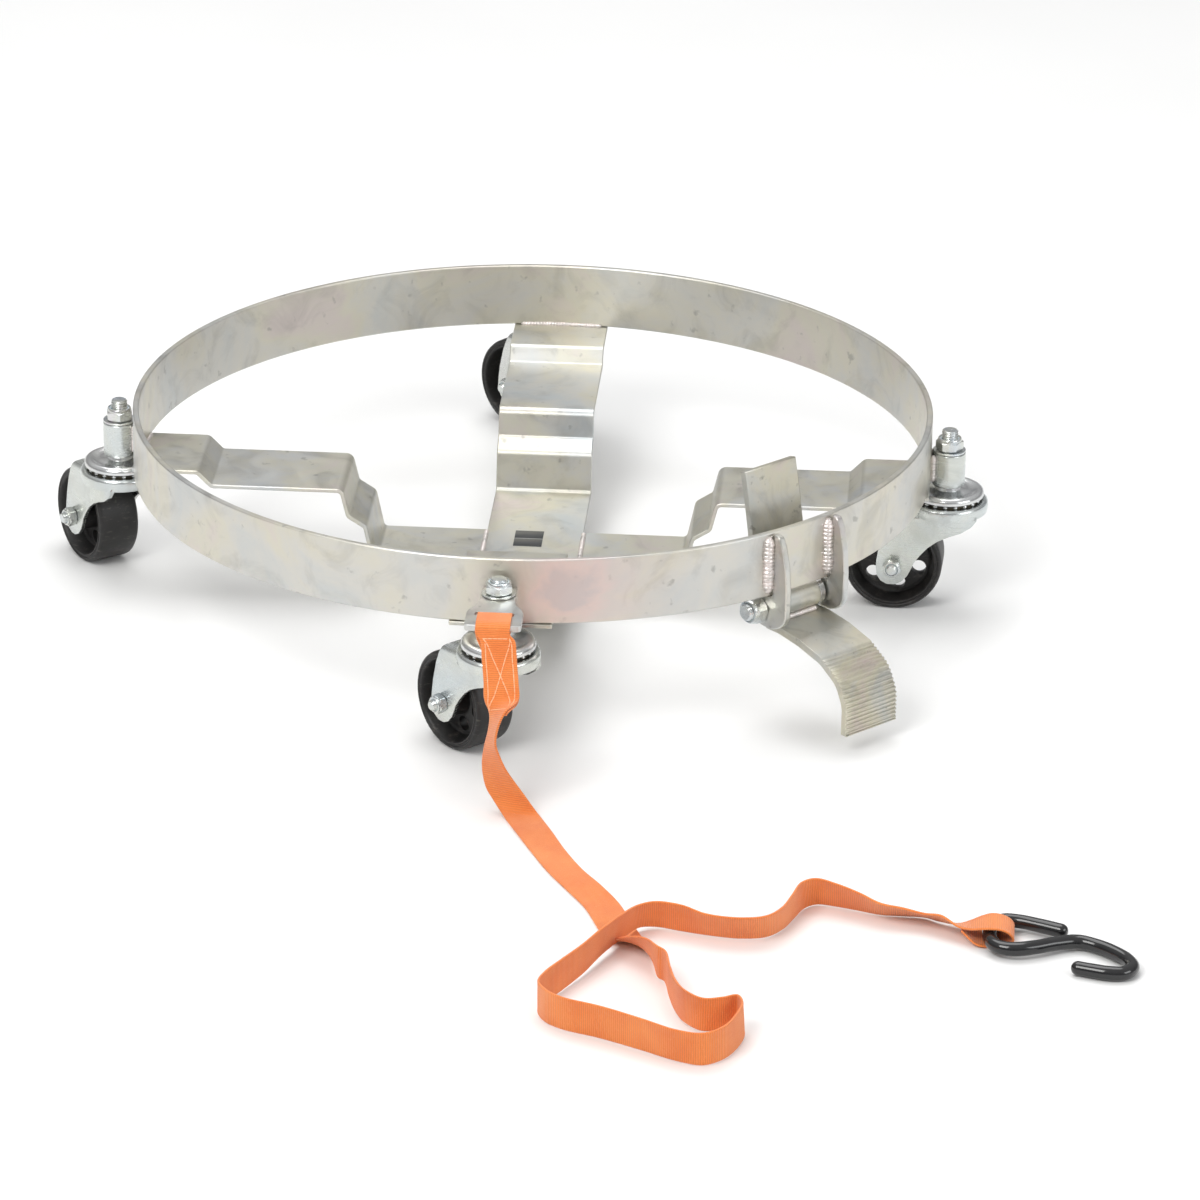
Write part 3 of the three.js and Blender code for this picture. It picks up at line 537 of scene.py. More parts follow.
def join(name, objs):
    """One object from several, each with its modifiers applied."""
    mats, bm = [], bmesh.new()
    for o in objs:
        if o.modifiers:
            apply_mods(o)
        idx = []
        for m in o.data.materials:
            if m not in mats:
                mats.append(m)
            idx.append(mats.index(m))
        start = len(bm.faces)
        bm.from_mesh(o.data)
        bm.faces.ensure_lookup_table()
        for f in bm.faces[start:]:
            f.material_index = idx[min(f.material_index, len(idx) - 1)] if idx else 0
    me = bpy.data.meshes.new(name)
    bm.to_mesh(me)
    bm.free()
    for m in mats:
        me.materials.append(m)
    for o in objs:
        bpy.data.objects.remove(o, do_unlink=True)
    me.shade_smooth()
    me.set_sharp_from_angle(angle=math.radians(36))
    o = bpy.data.objects.new(name, me)
    scene.collection.objects.link(o)
    return o


def use(o, body, slot, *nodes):
    if nodes:
        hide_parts(*nodes)
    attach(o, body)
    return o


def hexnut(name, apothem, h, bore, mat, M, phase=0.0, both=True, seg=96):
    """Hexagon with turned corner chamfers."""
    def rad(a, z):
        b = (a - phase + math.pi / 6) % (math.pi / 3) - math.pi / 6
        r = apothem / math.cos(b)
        lim = apothem * 0.985 + (h - z) * 1.75
        if both:
            lim = min(lim, apothem * 0.985 + z * 1.75)
        return min(r, lim)
    zs = [0, 0.25, 0.5, 0.75, 1.0, 1.4, h / 2, h - 1.4, h - 1.0, h - 0.75, h - 0.5, h - 0.25, h]
    prof = [(bore, 0)] + [(apothem, z) for z in zs] + [(bore, h)]
    return lathe(name, prof, seg, mat, M, True, 0, 26, lambda r, z, a: r if r == bore else rad(a, z))


def thread(name, r, z0, z1, pitch, mat, M, depth=0.7, tip=1.0, seg=48):
    """Screw thread from z0 to z1 along local Z, with a chamfered tip."""
    step = pitch / 10
    n = int((z1 - z0) / step)
    verts, faces = [], []
    for j in range(n + 1):
        z = z0 + (z1 - z0) * j / n
        for i in range(seg):
            a = 2 * math.pi * i / seg
            ph = (z / pitch - i / seg) % 1.0
            tri = abs(ph - 0.5) * 2
            rr = r - depth * max(0.0, min(1.0, (tri - 0.12) / 0.76))
            rr = min(rr, r - tip + (z1 - z) * 1.0 if z > z1 - tip else rr)
            verts.append((rr * math.cos(a), rr * math.sin(a), z))
    for j in range(n):
        for i in range(seg):
            k = (i + 1) % seg
            faces.append((j * seg + i, j * seg + k, (j + 1) * seg + k, (j + 1) * seg + i))
    faces.append(tuple(range(seg)))
    faces.append(tuple(n * seg + i for i in range(seg)))
    return obj_from(name, verts, faces, mat, M, 0, 50)


def frames_along(path):
    T = []
    n = len(path)
    for i in range(n):
        T.append((path[min(n - 1, i + 1)] - path[max(0, i - 1)]).normalized())
    N = T[0].orthogonal().normalized()
    out = []
    for i in range(n):
        N = (N - T[i] * N.dot(T[i])).normalized()
        out.append((T[i], N.copy(), T[i].cross(N)))
    return out


def tube(name, path, radius, mat, sides=16, cap=True, round_ends=False, rf=None):
    P = [Vector(p) for p in path]
    F = frames_along(P)
    verts, faces, rings = [], [], []
    def ring(c, u, v, r):
        rings.append(len(verts))
        for k in range(sides):
            a = 2 * math.pi * k / sides
            verts.append(c + u * (r * math.cos(a)) + v * (r * math.sin(a)))
    if round_ends:
        for k in range(5, 0, -1):
            q = k / 6 * math.pi / 2
            ring(P[0] - F[0][0] * radius * math.sin(q), F[0][1], F[0][2], radius * math.cos(q))
    for i, p in enumerate(P):
        ring(p, F[i][1], F[i][2], radius * (rf(i) if rf else 1))
    if round_ends:
        for k in range(1, 6):
            q = k / 6 * math.pi / 2
            ring(P[-1] + F[-1][0] * radius * math.sin(q), F[-1][1], F[-1][2], radius * math.cos(q))
    for a, b in zip(rings, rings[1:]):
        for k in range(sides):
            faces.append((a + k, a + (k + 1) % sides, b + (k + 1) % sides, b + k))
    faces.append(tuple(reversed(range(rings[0], rings[0] + sides))))
    faces.append(tuple(range(rings[-1], rings[-1] + sides)))
    return obj_from(name, [tuple(v) for v in verts], faces, mat, None, 0, 60)


def dense(points, step):
    P = [Vector(p) for p in points]
    out = [P[0]]
    for a, b in zip(P, P[1:]):
        n = max(1, int((b - a).length / step))
        out += [a.lerp(b, k / n) for k in range(1, n + 1)]
    return out


def bead(name, points, r, seed, pitch=2.4, mat=None):
    """A weld bead: overlapping ripples along a path, a little uneven."""
    P = dense(points, 0.45)
    acc = [0.0]
    for a, b in zip(P, P[1:]):
        acc.append(acc[-1] + (b - a).length)
    L = acc[-1]
    def rf(i):
        s = acc[i]
        ripple = 0.84 + 0.16 * abs(math.sin(math.pi * s / pitch))
        wob = 1 + 0.13 * noise.noise(Vector((s * 0.16, seed * 3.1, 0.0)))
        end = min(1.0, 0.45 + s / (1.6 * r), 0.45 + (L - s) / (1.6 * r))
        return ripple * wob * end
    o = tube(name, P, r, mat or M_WELD, 14, True, False, rf)
    for v in o.data.vertices:
        k = noise.noise(v.co * 700 + Vector((seed, 0, 0)))
        v.co += v.normal * (k * 0.16 * MM)
    return o


def place(at, trail=None):
    a = math.radians(at)
    M = Matrix.Translation((CASTER_R * math.cos(a), CASTER_R * math.sin(a), 0))
    if trail is not None:
        M = M @ Matrix.Rotation(math.radians(trail), 4, "Z")
    return M


def catmull(P, per):
    """Centripetal Catmull-Rom through the points."""
    Q = [2 * P[0] - P[1]] + P + [2 * P[-1] - P[-2]]
    out = []
    for i in range(1, len(Q) - 2):
        p0, p1, p2, p3 = Q[i - 1:i + 3]
        t0 = 0.0
        t1 = t0 + max(1e-6, (p1 - p0).length) ** 0.5
        t2 = t1 + max(1e-6, (p2 - p1).length) ** 0.5
        t3 = t2 + max(1e-6, (p3 - p2).length) ** 0.5
        n = per[i - 1] if isinstance(per, list) else per
        for k in range(n):
            t = t1 + (t2 - t1) * k / n
            A1 = p0 * ((t1 - t) / (t1 - t0)) + p1 * ((t - t0) / (t1 - t0))
            A2 = p1 * ((t2 - t) / (t2 - t1)) + p2 * ((t - t1) / (t2 - t1))
            A3 = p2 * ((t3 - t) / (t3 - t2)) + p3 * ((t - t2) / (t3 - t2))
            B1 = A1 * ((t2 - t) / (t2 - t0)) + A2 * ((t - t0) / (t2 - t0))
            B2 = A2 * ((t3 - t) / (t3 - t1)) + A3 * ((t - t1) / (t3 - t1))
            out.append(B1 * ((t2 - t) / (t2 - t1)) + B2 * ((t - t1) / (t2 - t1)))
    out.append(P[-1].copy())
    return out


# ---------------------------------------------------------------- cord: the strap and its hook
def ribbon_stations(A, B, step):
    A, B = [Vector(a) for a in A], [Vector(b) for b in B]
    mid = [(a + b) / 2 for a, b in zip(A, B)]
    per = [max(2, round((b - a).length / step)) for a, b in zip(mid, mid[1:])]
    return catmull(A, per), catmull(B, per)


SECTION = [(-.5, 0), (-.494, .32), (-.474, .50), (-.44, .52), (-.40, .44), (-.2, .46), (0, .47), (.2, .46), (.40, .44), (.44, .52), (.474, .50), (.494, .32)]
SECTION = SECTION + [(.5, 0)] + [(x, -y) for x, y in reversed(SECTION[1:])]


def strap_frames(A, B):
    mid = [(a + b) / 2 for a, b in zip(A, B)]
    out, prev, s = [], None, 0.0
    for i, c in enumerate(mid):
        t = (mid[min(len(mid) - 1, i + 1)] - mid[max(0, i - 1)]).normalized()
        w = (B[i] - A[i]).normalized()
        n = t.cross(w).normalized()
        if prev is not None and n.dot(prev) < 0:
            n.negate()
        prev = n.copy()
        if i:
            s += (c - mid[i - 1]).length
        out.append((s, c, w * (B[i] - A[i]).length, n, t))
    return out


def ribbon(frames, thick, shift=0.0, rib=0.10):
    """Vertices, faces and weave coordinates of a webbing strip with real ribs and thick selvedges."""
    verts, faces, uvs = [], [], []
    m = len(SECTION)
    for s, c, w, n, t in frames:
        k = 1 + rib * math.sin(2 * math.pi * s / 1.55)
        for x, y in SECTION:
            verts.append(c + w * x + n * (shift + y * thick * k))
            uvs.append((x * 25.4, s))
    for i in range(len(frames) - 1):
        for k in range(m):
            faces.append((i * m + k, i * m + (k + 1) % m, (i + 1) * m + (k + 1) % m, (i + 1) * m + k))
    faces.append(tuple(reversed(range(m))))
    e = (len(frames) - 1) * m
    faces.append(tuple(range(e, e + m)))
    return verts, faces, uvs


RA, RB = ribbon_stations(STRAP_A, STRAP_B, 0.42)
FR = strap_frames(RA, RB)
# the sewn patch hangs outside the ring: its outer face looks away from the ring's axis
probe = min(FR, key=lambda f: abs(f[0] - 111))
outward = 1.0 if probe[3].dot(Vector((probe[1].x, probe[1].y, 0)).normalized()) > 0 else -1.0
TAIL_FROM = 99.5   # the strap's own tail ends here; the sewn layer carries on behind
SEW = (79.3, 139.4)


def strap_mesh():
    parts = [ribbon(FR, STRAP_T)]
    tail = [f for f in FR if TAIL_FROM <= f[0] <= SEW[1] + 1]
    parts.append(ribbon(tail, 1.3, -outward * 2.05))
    verts, faces, uvs = [], [], []
    for v, f, u in parts:
        base = len(verts)
        verts += v
        uvs += u
        faces += [tuple(base + i for i in q) for q in f]
    me = bpy.data.meshes.new("webbing_strap")
    me.from_pydata([tuple(p * MM) for p in verts], [], faces)
    bm = bmesh.new()
    bm.from_mesh(me)
    bmesh.ops.recalc_face_normals(bm, faces=bm.faces)
    bm.to_mesh(me)
    bm.free()
    layer = me.uv_layers.new(name="weave")
    for poly in me.polygons:
        for li in poly.loop_indices:
            layer.data[li].uv = uvs[me.loops[li].vertex_index]
    me.materials.append(M_WEB)
    me.shade_smooth()
    me.set_sharp_from_angle(angle=math.radians(60))
    o = bpy.data.objects.new("webbing_strap", me)
    scene.collection.objects.link(o)
    return o


def on_strap(s, x):
    """Outer surface of the sewn patch at arc length s, x millimetres across."""
    k = min(range(len(FR)), key=lambda i: abs(FR[i][0] - s))
    _, c, w, n, t = FR[k]
    return c + w.normalized() * x + n * (outward * (STRAP_T * 0.5 + 0.12))


def stitch_line(a, b, length=2.7, gap=0.95):
    L = math.hypot(b[0] - a[0], b[1] - a[1])
    n = max(1, int(L / (length + gap)))
    out = []
    for i in range(n):
        u0, u1 = (i * (length + gap)) / L, (i * (length + gap) + length) / L
        p = on_strap(a[1] + (b[1] - a[1]) * u0, a[0] + (b[0] - a[0]) * u0)
        q = on_strap(a[1] + (b[1] - a[1]) * u1, a[0] + (b[0] - a[0]) * u1)
        mid = (p + q) / 2 + (p - q).normalized() * 0
        out.append(tube("st", [p, p.lerp(mid, 0.5), mid, mid.lerp(q, 0.5), q], 0.42, M_THREAD, 7, True, True))
    return out


strap = strap_mesh()
x0, x1, s0, s1 = -9.6, 9.6, SEW[0] + 2, SEW[1] - 4
stitches = []
for a, b in [((x0, s0), (x1, s0)), ((x1, s0), (x1, s1)), ((x1, s1), (x0, s1)), ((x0, s1), (x0, s0)), ((x0, s0), (x1, s1)), ((x1, s0), (x0, s1))]:
    stitches += stitch_line(a, b)
thread_box = join("strap_stitching", stitches)
thread_box.data.materials.clear()
thread_box.data.materials.append(M_THREAD)
use(thread_box, "frame", "orange_webbing")

hook_pts = catmull([Vector(p) for p in HOOK], 9)
hook = tube("coated_s_hook", hook_pts, HOOK_R, M_VINYL, 28, True, True, lambda i: 1 + 0.012 * math.sin(i * 0.31))
use(hook, "frame", "black_vinyl", "s_hook")
use(strap, "frame", "orange_webbing", "strap")


# ---------------------------------------------------------------- ring and bars
def wavy(r, z, a):
    return r + 0.28 * noise.noise(Vector((math.cos(a) * 3.2, math.sin(a) * 3.2, z * 0.01)))


zs = [RING_Z + RING_H * k / 4 for k in range(5)]
ring = lathe("ring_band_rolled", [(RO, z) for z in zs] + [(RI, z) for z in reversed(zs)], 288, M_RING, None, True, 0.9, 40, wavy)
use(ring, "frame", "ring_zinc", "ring_band")

half = [(120.5, BAR_LOW), (127.2, 63.5), (140.5, 72.0), (145.6, BAR_MID), (247, BAR_MID), (258, BAR_TOP), (309, BAR_TOP)]


def lower(pts):
    return [(x, z - BAR_T / 2) for x, z in pts]


through = lower([(-x, z) for x, z in reversed(half)] + half)
use(bent_strip("cross_bar_through_bent", rounded(through, 5, 10), BAR_T, BAR_W, 45, M_BAR, 0.7), "frame", "bar_zinc", "cross_bar_through")
half_bar = lower([(BAR_W / 2 + GAP, BAR_LOW)] + half)
for nm, a_ in (("right", -45), ("left", 135)):
    use(bent_strip("cross_bar_%s_bent" % nm, rounded(half_bar, 5, 10), BAR_T, BAR_W, a_, M_BAR, 0.7), "frame", "bar_zinc", "cross_bar_" + nm)


def polar(r, a, z):
    return Vector((r * math.cos(math.radians(a)), r * math.sin(math.radians(a)), z))


welds = []
for k, a_ in enumerate((-45, 135)):
    d = polar(1, a_, 0)
    side = Vector((-d.y, d.x, 0))
    welds.append(bead("w", [d * 38.3 + side * -35 + Vector((0, 0, BAR_LOW - 0.1)), d * 38.3 + side * 35 + Vector((0, 0, BAR_LOW - 0.1))], 2.1, k + 1))
for k, a_ in enumerate((-135, -45, 45, 135)):
    inner = [polar(RI - 0.2, a_ + math.degrees(math.asin(t / RI)), BAR_TOP + 0.6) for t in range(-33, 34, 3)]
    welds.append(bead("w", inner, 2.0, k + 5))
use(join("bar_weld_beads", welds), "frame", "ring_zinc")

# plain two-part label on the crossing, no lettering
lab = []
for j, (px, py, hx, hy, m) in enumerate([(6.5, 15.5, 7.4, 11.2, M_LABEL), (22.4, 15.5, 7.4, 11.2, M_LABEL), (14.45, 15.5, 0.35, 11.2, M_LABEL2)]):
    M = Matrix.Rotation(math.radians(45), 4, "Z")
    out = [(px - 10 - hx, py - 14 - hy), (px - 10 + hx, py - 14 - hy), (px - 10 + hx, py - 14 + hy), (px - 10 - hx, py - 14 + hy)]
    M.translation = Vector((10, 14, 0))
    lab.append(prism("l", out, BAR_LOW + 0.02, BAR_LOW + 0.22, m, M, 0.06))
use(join("plain_label", lab), "frame", "bar_zinc")

# ---------------------------------------------------------------- caster parts, built once in their own place
race_top = [(0, 79), (STEM_R, 79), (STEM_R, 93.6), (24.3, 93.6), (25.6, 92.7), (27.0, 92.5), (27.8, 93.2), (28.0, 94.6), (27.6, 96.2), (26.4, 97.6), (24.6, 98.3), (22.6, 98.2), (20.8, 97.4), (18.6, 96.7), (15.4, 96.9), (12.6, 97.8), (10.8, 98.6), (10.5, SLEEVE_Z[0] - GAP), (STEM_R, SLEEVE_Z[0] - GAP), (STEM_R, 128.0), (0, 128.0)]
crown = [(7, 84.4), (7, 88.4), (17.5, 88.4), (24.0, 88.2), (26.2, 88.8), (27.8, 89.9), (29.4, 89.9), (30.7, 88.9), (31.3, 87.2), (31.2, 84.6), (30.7, 80.4), (27.6, 80.2), (27.9, 84.4)]
leg = [(-24, 79.5), (-23.5, 87), (36, 87), (41, 83.5), (44.5, 76), (47.5, 68), (51, 53), (52.6, 42), (52.8, 36), (52, 30.5),
       (49, 25.6), (44, 22.8), (38, 22.8), (32.5, 25.5), (28.2, 30.5), (25.6, 36), (23.5, 41.5), (19, 48), (13, 55),
       (6, 60.5), (-3, 65), (-12, 68.5), (-20, 74)]
leg = rounded(leg + [leg[0]], 3.0, 4)[:-1]


def build_fork():
    c = FORK_IN + FORK_T / 2
    chan = bent_strip("fork", rounded([(-c, 20), (-c, 84.5), (c, 84.5), (c, 20)], 6, 8), FORK_T, 84, 90, M_CASTER, 0)
    chan.data.transform(Matrix.Translation((14 * MM, 0, 0)))
    R = Matrix.Rotation(math.radians(90), 4, "X")
    cut = prism("cut", leg, -30, 30, M_CASTER, R, 0)
    boolean(chan, cut, "INTERSECT")
    boolean(chan, lathe("crown", crown, 96, M_CASTER, None, True, 0), "UNION")
    add_bevel(chan, 0.55, 38, 2)
    return apply_mods(chan)


wheel_prof = [(6.7, -17.4), (10.6, -17.4), (11.4, -16.6), (12.6, -5.0), (14.2, -4.0), (26.8, -3.2), (28.8, -4.6), (31.2, -15.0), (32.2, -16.6), (33.0, -16.9), (33.6, -16.1), (34.6, -16.1), (35.2, -16.8), (36.3, -16.7), (37.5, -15.6), (38.05, -13.6), (38.1, -6)]
wheel_prof = wheel_prof + [(r, -z) for r, z in reversed(wheel_prof)]


def build_wheel():
    R = Matrix.Rotation(math.radians(-90), 4, "X")
    w = lathe("wheel", wheel_prof, 120, M_WHEEL, R, True, 0)
    for k in range(6):
        a_ = k * math.pi / 3 + 0.35
        M = R.copy()
        M.translation = Vector((20.6 * math.cos(a_), 0, 20.6 * math.sin(a_)))
        boolean(w, lathe("cut", [(0, -12), (5.8, -12), (5.8, 12), (0, 12)], 28, M_WHEEL, M, False))
    add_bevel(w, 0.5, 34, 2)
    return apply_mods(w)


FORK_OBJ, WHEEL_OBJ = build_fork(), build_wheel()


def copy_of(src, name, M):
    me = src.data.copy()
    me.name = name
    me.transform(Matrix.Translation(M.translation * MM) @ M.to_3x3().to_4x4())
    o = bpy.data.objects.new(name, me)
    scene.collection.objects.link(o)
    return o


def lock_nut(name, apothem, z0, z1, bore, M, phase, collar=9.25, rise=2.3):
    body = hexnut("n", apothem, z1 - z0, bore, M_FAST, M @ Matrix.Translation((0, 0, z0)), phase)
    c = lathe("c", [(collar - 1.1, z1 - 0.3), (collar, z1 - 0.3), (collar - 0.05, z1 + rise * 0.62), (collar - 0.5, z1 + rise * 0.93), (collar - 1.2, z1 + rise), (collar - 1.6, z1 + rise * 0.8)], 64, M_FAST, M)
    ny = lathe("y", [(bore, z1 - 0.3), (collar - 1.0, z1 - 0.3), (collar - 1.0, z1 + rise * 0.7), (bore, z1 + rise * 0.62)], 48, M_NYLON, M)
    return join(name, [body, c, ny])


for ci, (cid, at, trail) in enumerate(CASTERS):
    fr, sw, wh = "frame", "swivel_" + cid, "wheel_" + cid
    M0, MT = place(at), place(at, trail)
    use(lathe("sleeve_tube_" + cid, [(SLEEVE_BORE, SLEEVE_Z[0]), (SLEEVE_R, SLEEVE_Z[0]), (SLEEVE_R, SLEEVE_Z[1]), (SLEEVE_BORE, SLEEVE_Z[1])], 72, M_CASTER, M0, True, 0.8), fr, "ring_zinc", "caster_sleeve_" + cid)
    col = lathe("k", race_top, 96, M_RACE, M0, False, 0.25, 50)
    pin = lathe("p", [(0, 75.6), (8.2, 75.6), (8.6, 76.2), (8.6, 79.0), (0, 79.0)], 48, M_FAST, M0, False, 0)
    th = thread("t", STEM_R, 127.5, STEM_TOP, 1.95, M_FAST, M0)
    use(join("kingpin_" + cid, [col, pin, th]), fr, "caster_zinc", "stem_" + cid)
    plate = cid == "strap_side"
    zn = 133.8 if plate else SLEEVE_Z[1] + GAP
    if plate:
        zn = SLEEVE_Z[1] + GAP + 4.8 + GAP
    use(lathe("flat_washer_" + cid, [(STEM_R + 0.4, zn), (12.6, zn), (12.6, zn + 1.5), (STEM_R + 0.4, zn + 1.5)], 64, M_FAST, M0, True, 0.3), fr, "fastener_zinc", "stem_washer_" + cid)
    n0 = zn + 1.5 + GAP
    n1 = n0 + (6.6 if plate else 7.2)
    use(lock_nut("lock_nut_" + cid, 9.44, n0, n1, 6.42, M0, 0.4 + ci * 0.37), fr, "fastener_zinc", "stem_nut_" + cid)
    # sleeve to ring welds
    a_ = math.radians(at)
    d, side = Vector((math.cos(a_), math.sin(a_), 0)), Vector((-math.sin(a_), math.cos(a_), 0))
    ws = []
    for sgn in (-1, 1):
        base = d * (RO + 1.5) + side * (sgn * 7.4)
        ws.append(bead("w", [base + Vector((0, 0, 105.5)), base + Vector((0, 0, 127.2))], 2.5, 20 + ci * 2 + sgn))
    use(join("sleeve_weld_" + cid, ws), fr, "ring_zinc")
    # ball race: balls in dark grease
    balls = [lathe("g", [(18.6, 88.9), (24.9, 88.9), (25.3, 90.4), (24.9, 92.4), (18.6, 92.4)], 64, M_GREASE, M0)]
    for k in range(20):
        q = 2 * math.pi * (k + 0.3) / 20
        c = M0 @ Vector((24.6 * math.cos(q), 24.6 * math.sin(q), 90.75))
        prof = [(0, -1.9)] + [(1.9 * math.cos(t), 1.9 * math.sin(t)) for t in [math.radians(x) for x in range(-72, 73, 18)]] + [(0, 1.9)]
        balls.append(lathe("b", prof, 14, M_RACE, Matrix.Translation(c), False))
    use(join("ball_set_" + cid, balls), sw, "bearing_steel", "ball_race_" + cid)
    use(copy_of(FORK_OBJ, "pressed_fork_" + cid, MT), sw, "caster_zinc", "fork_" + cid)
    MA = MT @ Matrix.Translation((TRAIL, 0, AXLE_Z))
    use(copy_of(WHEEL_OBJ, "moulded_wheel_" + cid, MA), wh, "black_plastic", "wheel_" + cid)
    MX = MA @ Matrix.Rotation(math.radians(-90), 4, "X")
    lo = FORK_IN + FORK_T
    hd = hexnut("h", 5.97, 4.9, 0.5, M_FAST, MX @ Matrix.Translation((0, 0, -(lo + 5.2))), 0.2)
    fc = lathe("f", [(0, -(lo + 5.4)), (5.0, -(lo + 5.4)), (5.2, -(lo + 5.15)), (5.2, -(lo + 4.6)), (0, -(lo + 4.6))], 40, M_FAST, MX, False)
    sh = lathe("s", [(0, -(lo + GAP)), (4.0, -(lo + GAP)), (4.0, 28.6), (0, 28.6)], 32, M_FAST, MX, False)
    tt = thread("t", 4.0, 28.3, 32.0, 1.25, M_FAST, MX, 0.45, 0.8, 40)
    use(join("axle_bolt_full_" + cid, [hd, fc, sh, tt]), sw, "fastener_zinc", "axle_bolt_" + cid)
    use(lock_nut("axle_lock_nut_" + cid, 6.62, lo + GAP, lo + GAP + 6.0, 4.08, MX, 0.3, 6.35, 1.5), sw, "fastener_zinc", "axle_nut_" + cid)
    use(lathe("axle_sleeve_" + cid, [(4.3, -18.1), (6.3, -18.1), (6.3, 18.1), (4.3, 18.1)], 48, M_RACE, MX, True, 0.3), sw, "bearing_steel", "axle_bush_" + cid)
for o in (FORK_OBJ, WHEEL_OBJ):
    bpy.data.objects.remove(o, do_unlink=True)

# ---------------------------------------------------------------- strap plate
side_pts = [(-13.5, 12.6), (0, 13.4), (9, 12.8), (19, 14.2), (28, 19.2), (33, 20.6), (55.5, 20.6), (57.5, 18.6)]
o_ = side_pts + [(x, -y) for x, y in reversed(side_pts)]
o_ = rounded(o_ + [o_[0]], 2.2, 5)[:-1]
PM = place(-135) @ Matrix.Rotation(math.radians(-135), 4, "Z")
PZ = SLEEVE_Z[1] + GAP
sp = prism("strap_plate_cut", o_, PZ, PZ + 4.8, M_EDGE, PM, 0)
boolean(sp, prism("c", rounded([(33.6, -14.4), (39.6, -14.4), (39.6, 14.4), (33.6, 14.4), (33.6, -14.4)], 1.2, 4)[:-1], PZ - 2, PZ + 8, M_EDGE, PM, 0))
boolean(sp, lathe("c", [(0, PZ - 2), (STEM_R + 0.4, PZ - 2), (STEM_R + 0.4, PZ + 8), (0, PZ + 8)], 40, M_EDGE, PM, False))
add_bevel(sp, 0.55, 34, 2)
use(sp, "frame", "ring_zinc", "strap_plate")

# ---------------------------------------------------------------- foot lever
EAR_OFF = EAR_GAP / 2 + EAR_T / 2
ear = [(RO + GAP + 0.9, 154.6), (316.5, 154.0), (320.5, 146), (324.2, 130), (325.6, 112), (325.4, 96)]
for k in range(13):
    a_ = math.radians(-8 - k * 150 / 12)
    ear.append((304.5 + 21.0 * math.cos(a_), 93 + 15.5 * math.sin(a_)))
ear += [(286.5, 95), (292, 101.6), (302.4, RING_Z - GAP - 0.4), (RO + GAP + 0.9, RING_Z - GAP - 0.4)]
for nm, s_ in (("left", 1), ("right", -1)):
    use(prism("ear_" + nm, rounded(ear + [ear[0]], 4, 4)[:-1], s_ * EAR_OFF - EAR_T / 2, s_ * EAR_OFF + EAR_T / 2, M_EDGE, upright(-90), 0.9), "frame", "ring_zinc", "lever_ear_" + nm)
ws = []
for k, s_ in enumerate((-1, 1)):
    for j, (off, r) in enumerate(((-EAR_T / 2 - 2.6, 4.8), (EAR_T / 2 + 0.9, 2.6))):
        x = s_ * EAR_OFF + off
        y = -math.sqrt(RO * RO - x * x) - 0.5
        ws.append(bead("w", [(x, y, 108), (x + 0.3, y, 122), (x - 0.2, y, 138), (x + 0.2, y, 152.4)], r, 40 + k * 2 + j, 3.1))
    for q in range(9):
        x = s_ * EAR_OFF - EAR_T / 2 - rng.uniform(-1, 8)
        y = -math.sqrt(RO * RO - x * x)
        r = rng.uniform(0.35, 0.95)
        prof = [(0, -r)] + [(r * math.cos(math.radians(t)), r * math.sin(math.radians(t))) for t in (-50, 0, 50)] + [(0, r)]
        ws.append(lathe("sp", prof, 10, M_WELD, Matrix.Translation((x, y, rng.uniform(126, 153))), False))
use(join("ear_weld_beads", ws), "frame", "ring_zinc")

MK = Matrix.Translation((0, -PIVOT_R, PIVOT_Z)) @ Matrix.Rotation(math.radians(90), 4, "Y")
use(lathe("knuckle_tube", [(6.7, -25.4), (11.6, -25.4), (11.6, 20.0), (6.7, 20.0)], 72, M_LEVER, MK, True, 0.7), "lever", "lever_zinc", "lever_knuckle")
use(lathe("pivot_spacer", [(6.7, 20.3), (11.2, 20.3), (11.2, 25.3), (6.7, 25.3)], 72, M_RACE, MK, True, 0.5), "frame", "bearing_steel", "lever_spacer")

ped = rounded([(297.5, 76.2), (312, 76.2), (334, 73.0), (358, 66.5), (376.5, 55.0), (384.6, 38.5), (384.4, 15.2)], 22, 8)


def grooves(s, total):
    u = s - (total - 64)
    if u < 0 or s > total - 1.0:
        return 0.0
    w = (u / 3.25) % 1.0
    return 1.25 * max(0.0, min(1.0, (0.62 - abs(w - 0.5) * 2) / 0.26)) * min(1.0, u / 3)


use(bent_strip("pedal_grooved", ped, LEVER_T, LEVER_W, -90, M_LEVER, 0.35, 0.4, grooves, 9), "lever", "lever_zinc", "lever_pedal")
pl = rounded([(282.2, 88.0), (281.6, 104), (279.2, 136), (274.4, 162), (268.4, 189.5)], 30, 6)
use(bent_strip("lever_back_plate", pl, LEVER_T, LEVER_W, -90, M_LEVER, 0.8), "lever", "lever_zinc", "lever_plate")
lw = [bead("w", [(-23.5, -(PIVOT_R + 8.6), 80.8), (18.5, -(PIVOT_R + 8.6), 80.8)], 2.2, 61),
      bead("w", [(-23.5, -(PIVOT_R - 10.8), 95.2), (18.5, -(PIVOT_R - 10.8), 95.2)], 2.0, 62)]
use(join("lever_weld_beads", lw), "lever", "lever_zinc")

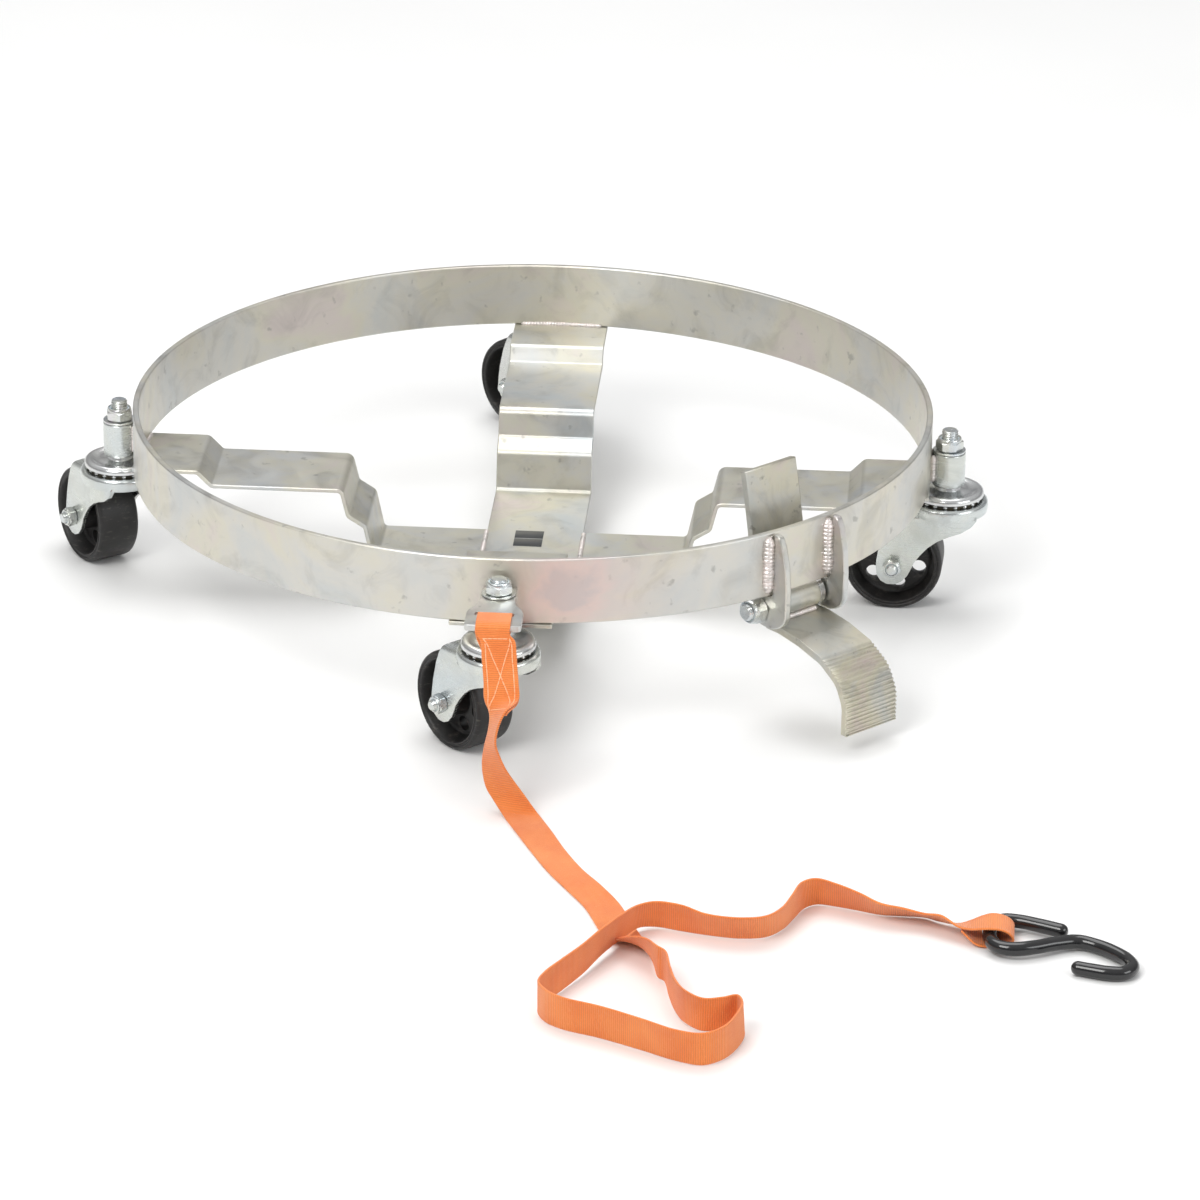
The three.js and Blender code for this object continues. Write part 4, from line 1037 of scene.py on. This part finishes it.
MB = Matrix.Translation((0, -PIVOT_R, PIVOT_Z)) @ Matrix.Rotation(math.radians(-90), 4, "Y")
out_ = EAR_OFF + EAR_T / 2
hd = hexnut("h", 8.45, 9.2, 0.5, M_FAST, MB @ Matrix.Translation((0, 0, -(out_ + 9.5))), 0.1)
fc = lathe("f", [(0, -(out_ + 9.75)), (7.5, -(out_ + 9.75)), (7.8, -(out_ + 9.45)), (7.8, -(out_ + 8.8)), (0, -(out_ + 8.8))], 48, M_FAST, MB, False)
sh = lathe("s", [(0, -(out_ + GAP)), (STEM_R, -(out_ + GAP)), (STEM_R, out_ + 9), (0, out_ + 9)], 48, M_FAST, MB, False)
tt = thread("t", STEM_R, out_ + 8.6, out_ + 15, 1.95, M_FAST, MB)
use(join("pivot_bolt_full", [hd, fc, sh, tt]), "frame", "fastener_zinc", "pivot_bolt")
use(lock_nut("pivot_lock_nut", 9.44, out_ + GAP, out_ + GAP + 9.5, 6.42, MB, 0.25, 9.2, 2.1), "frame", "fastener_zinc", "pivot_nut")

# ---------------------------------------------------------------- floor, light
fl = bpy.data.meshes.new("floor")
fl.from_pydata([(-9, -9, 0), (9, -9, 0), (9, 9, 0), (-9, 9, 0)], [], [(0, 1, 2, 3)])
k = Mat("pale_floor")
k.l(k.ramp(k.noise(k.coord(), 3, 2), [(0.3, (0.86, 0.86, 0.855)), (0.7, (0.88, 0.88, 0.875))]), k.b.inputs["Base Color"])
k.b.inputs["Roughness"].default_value = 0.85
k.b.inputs["Specular IOR Level"].default_value = 0.15
fl.materials.append(k.m)
floor = bpy.data.objects.new("floor", fl)
scene.collection.objects.link(floor)

world = bpy.data.worlds.new("studio")
scene.world = world
world.use_nodes = True
nt = world.node_tree
bg = nt.nodes["Background"]
tc = nt.nodes.new("ShaderNodeTexCoord")
sx = nt.nodes.new("ShaderNodeSeparateXYZ")
rp = nt.nodes.new("ShaderNodeValToRGB")
nt.links.new(tc.outputs["Generated"], sx.inputs[0])
mr = nt.nodes.new("ShaderNodeMapRange")
mr.inputs["From Min"].default_value = -1
nt.links.new(sx.outputs["Z"], mr.inputs["Value"])
nt.links.new(mr.outputs["Result"], rp.inputs["Fac"])
e = rp.color_ramp.elements
e[0].position, e[0].color = 0.48, (0.80, 0.80, 0.80, 1)
e[1].position, e[1].color = 1.0, (1.0, 1.0, 1.0, 1)
for p, c in ((0.54, 0.72), (0.62, 0.30), (0.74, 0.62)):
    q = e.new(p)
    q.color = (c, c, c * 1.01, 1)
nt.links.new(rp.outputs["Color"], bg.inputs["Color"])
bg.inputs["Strength"].default_value = 0.75


def area(name, loc, target, size, power, colour=(1, 1, 1)):
    d = bpy.data.lights.new(name, "AREA")
    d.shape = "RECTANGLE"
    d.size, d.size_y = size
    d.energy = power
    d.color = colour
    o = bpy.data.objects.new(name, d)
    scene.collection.objects.link(o)
    o.matrix_world = Matrix.Translation(loc) @ (Vector(target) - Vector(loc)).to_track_quat("-Z", "Y").to_matrix().to_4x4()
    return o


area("key", (-2.6, -0.9, 2.6), (0, 0, 0.1), (1.6, 1.6), 62, (1, 0.995, 0.98))
area("fill", (0.8, -3.4, 1.5), (0, 0, 0.1), (2.2, 1.2), 34, (0.97, 0.985, 1))
area("top", (0.5, 0.8, 3.2), (0, 0, 0), (2.4, 2.4), 52)
scene.view_settings.view_transform = "Standard"
scene.view_settings.look = "None"
scene.view_settings.exposure = 0.0
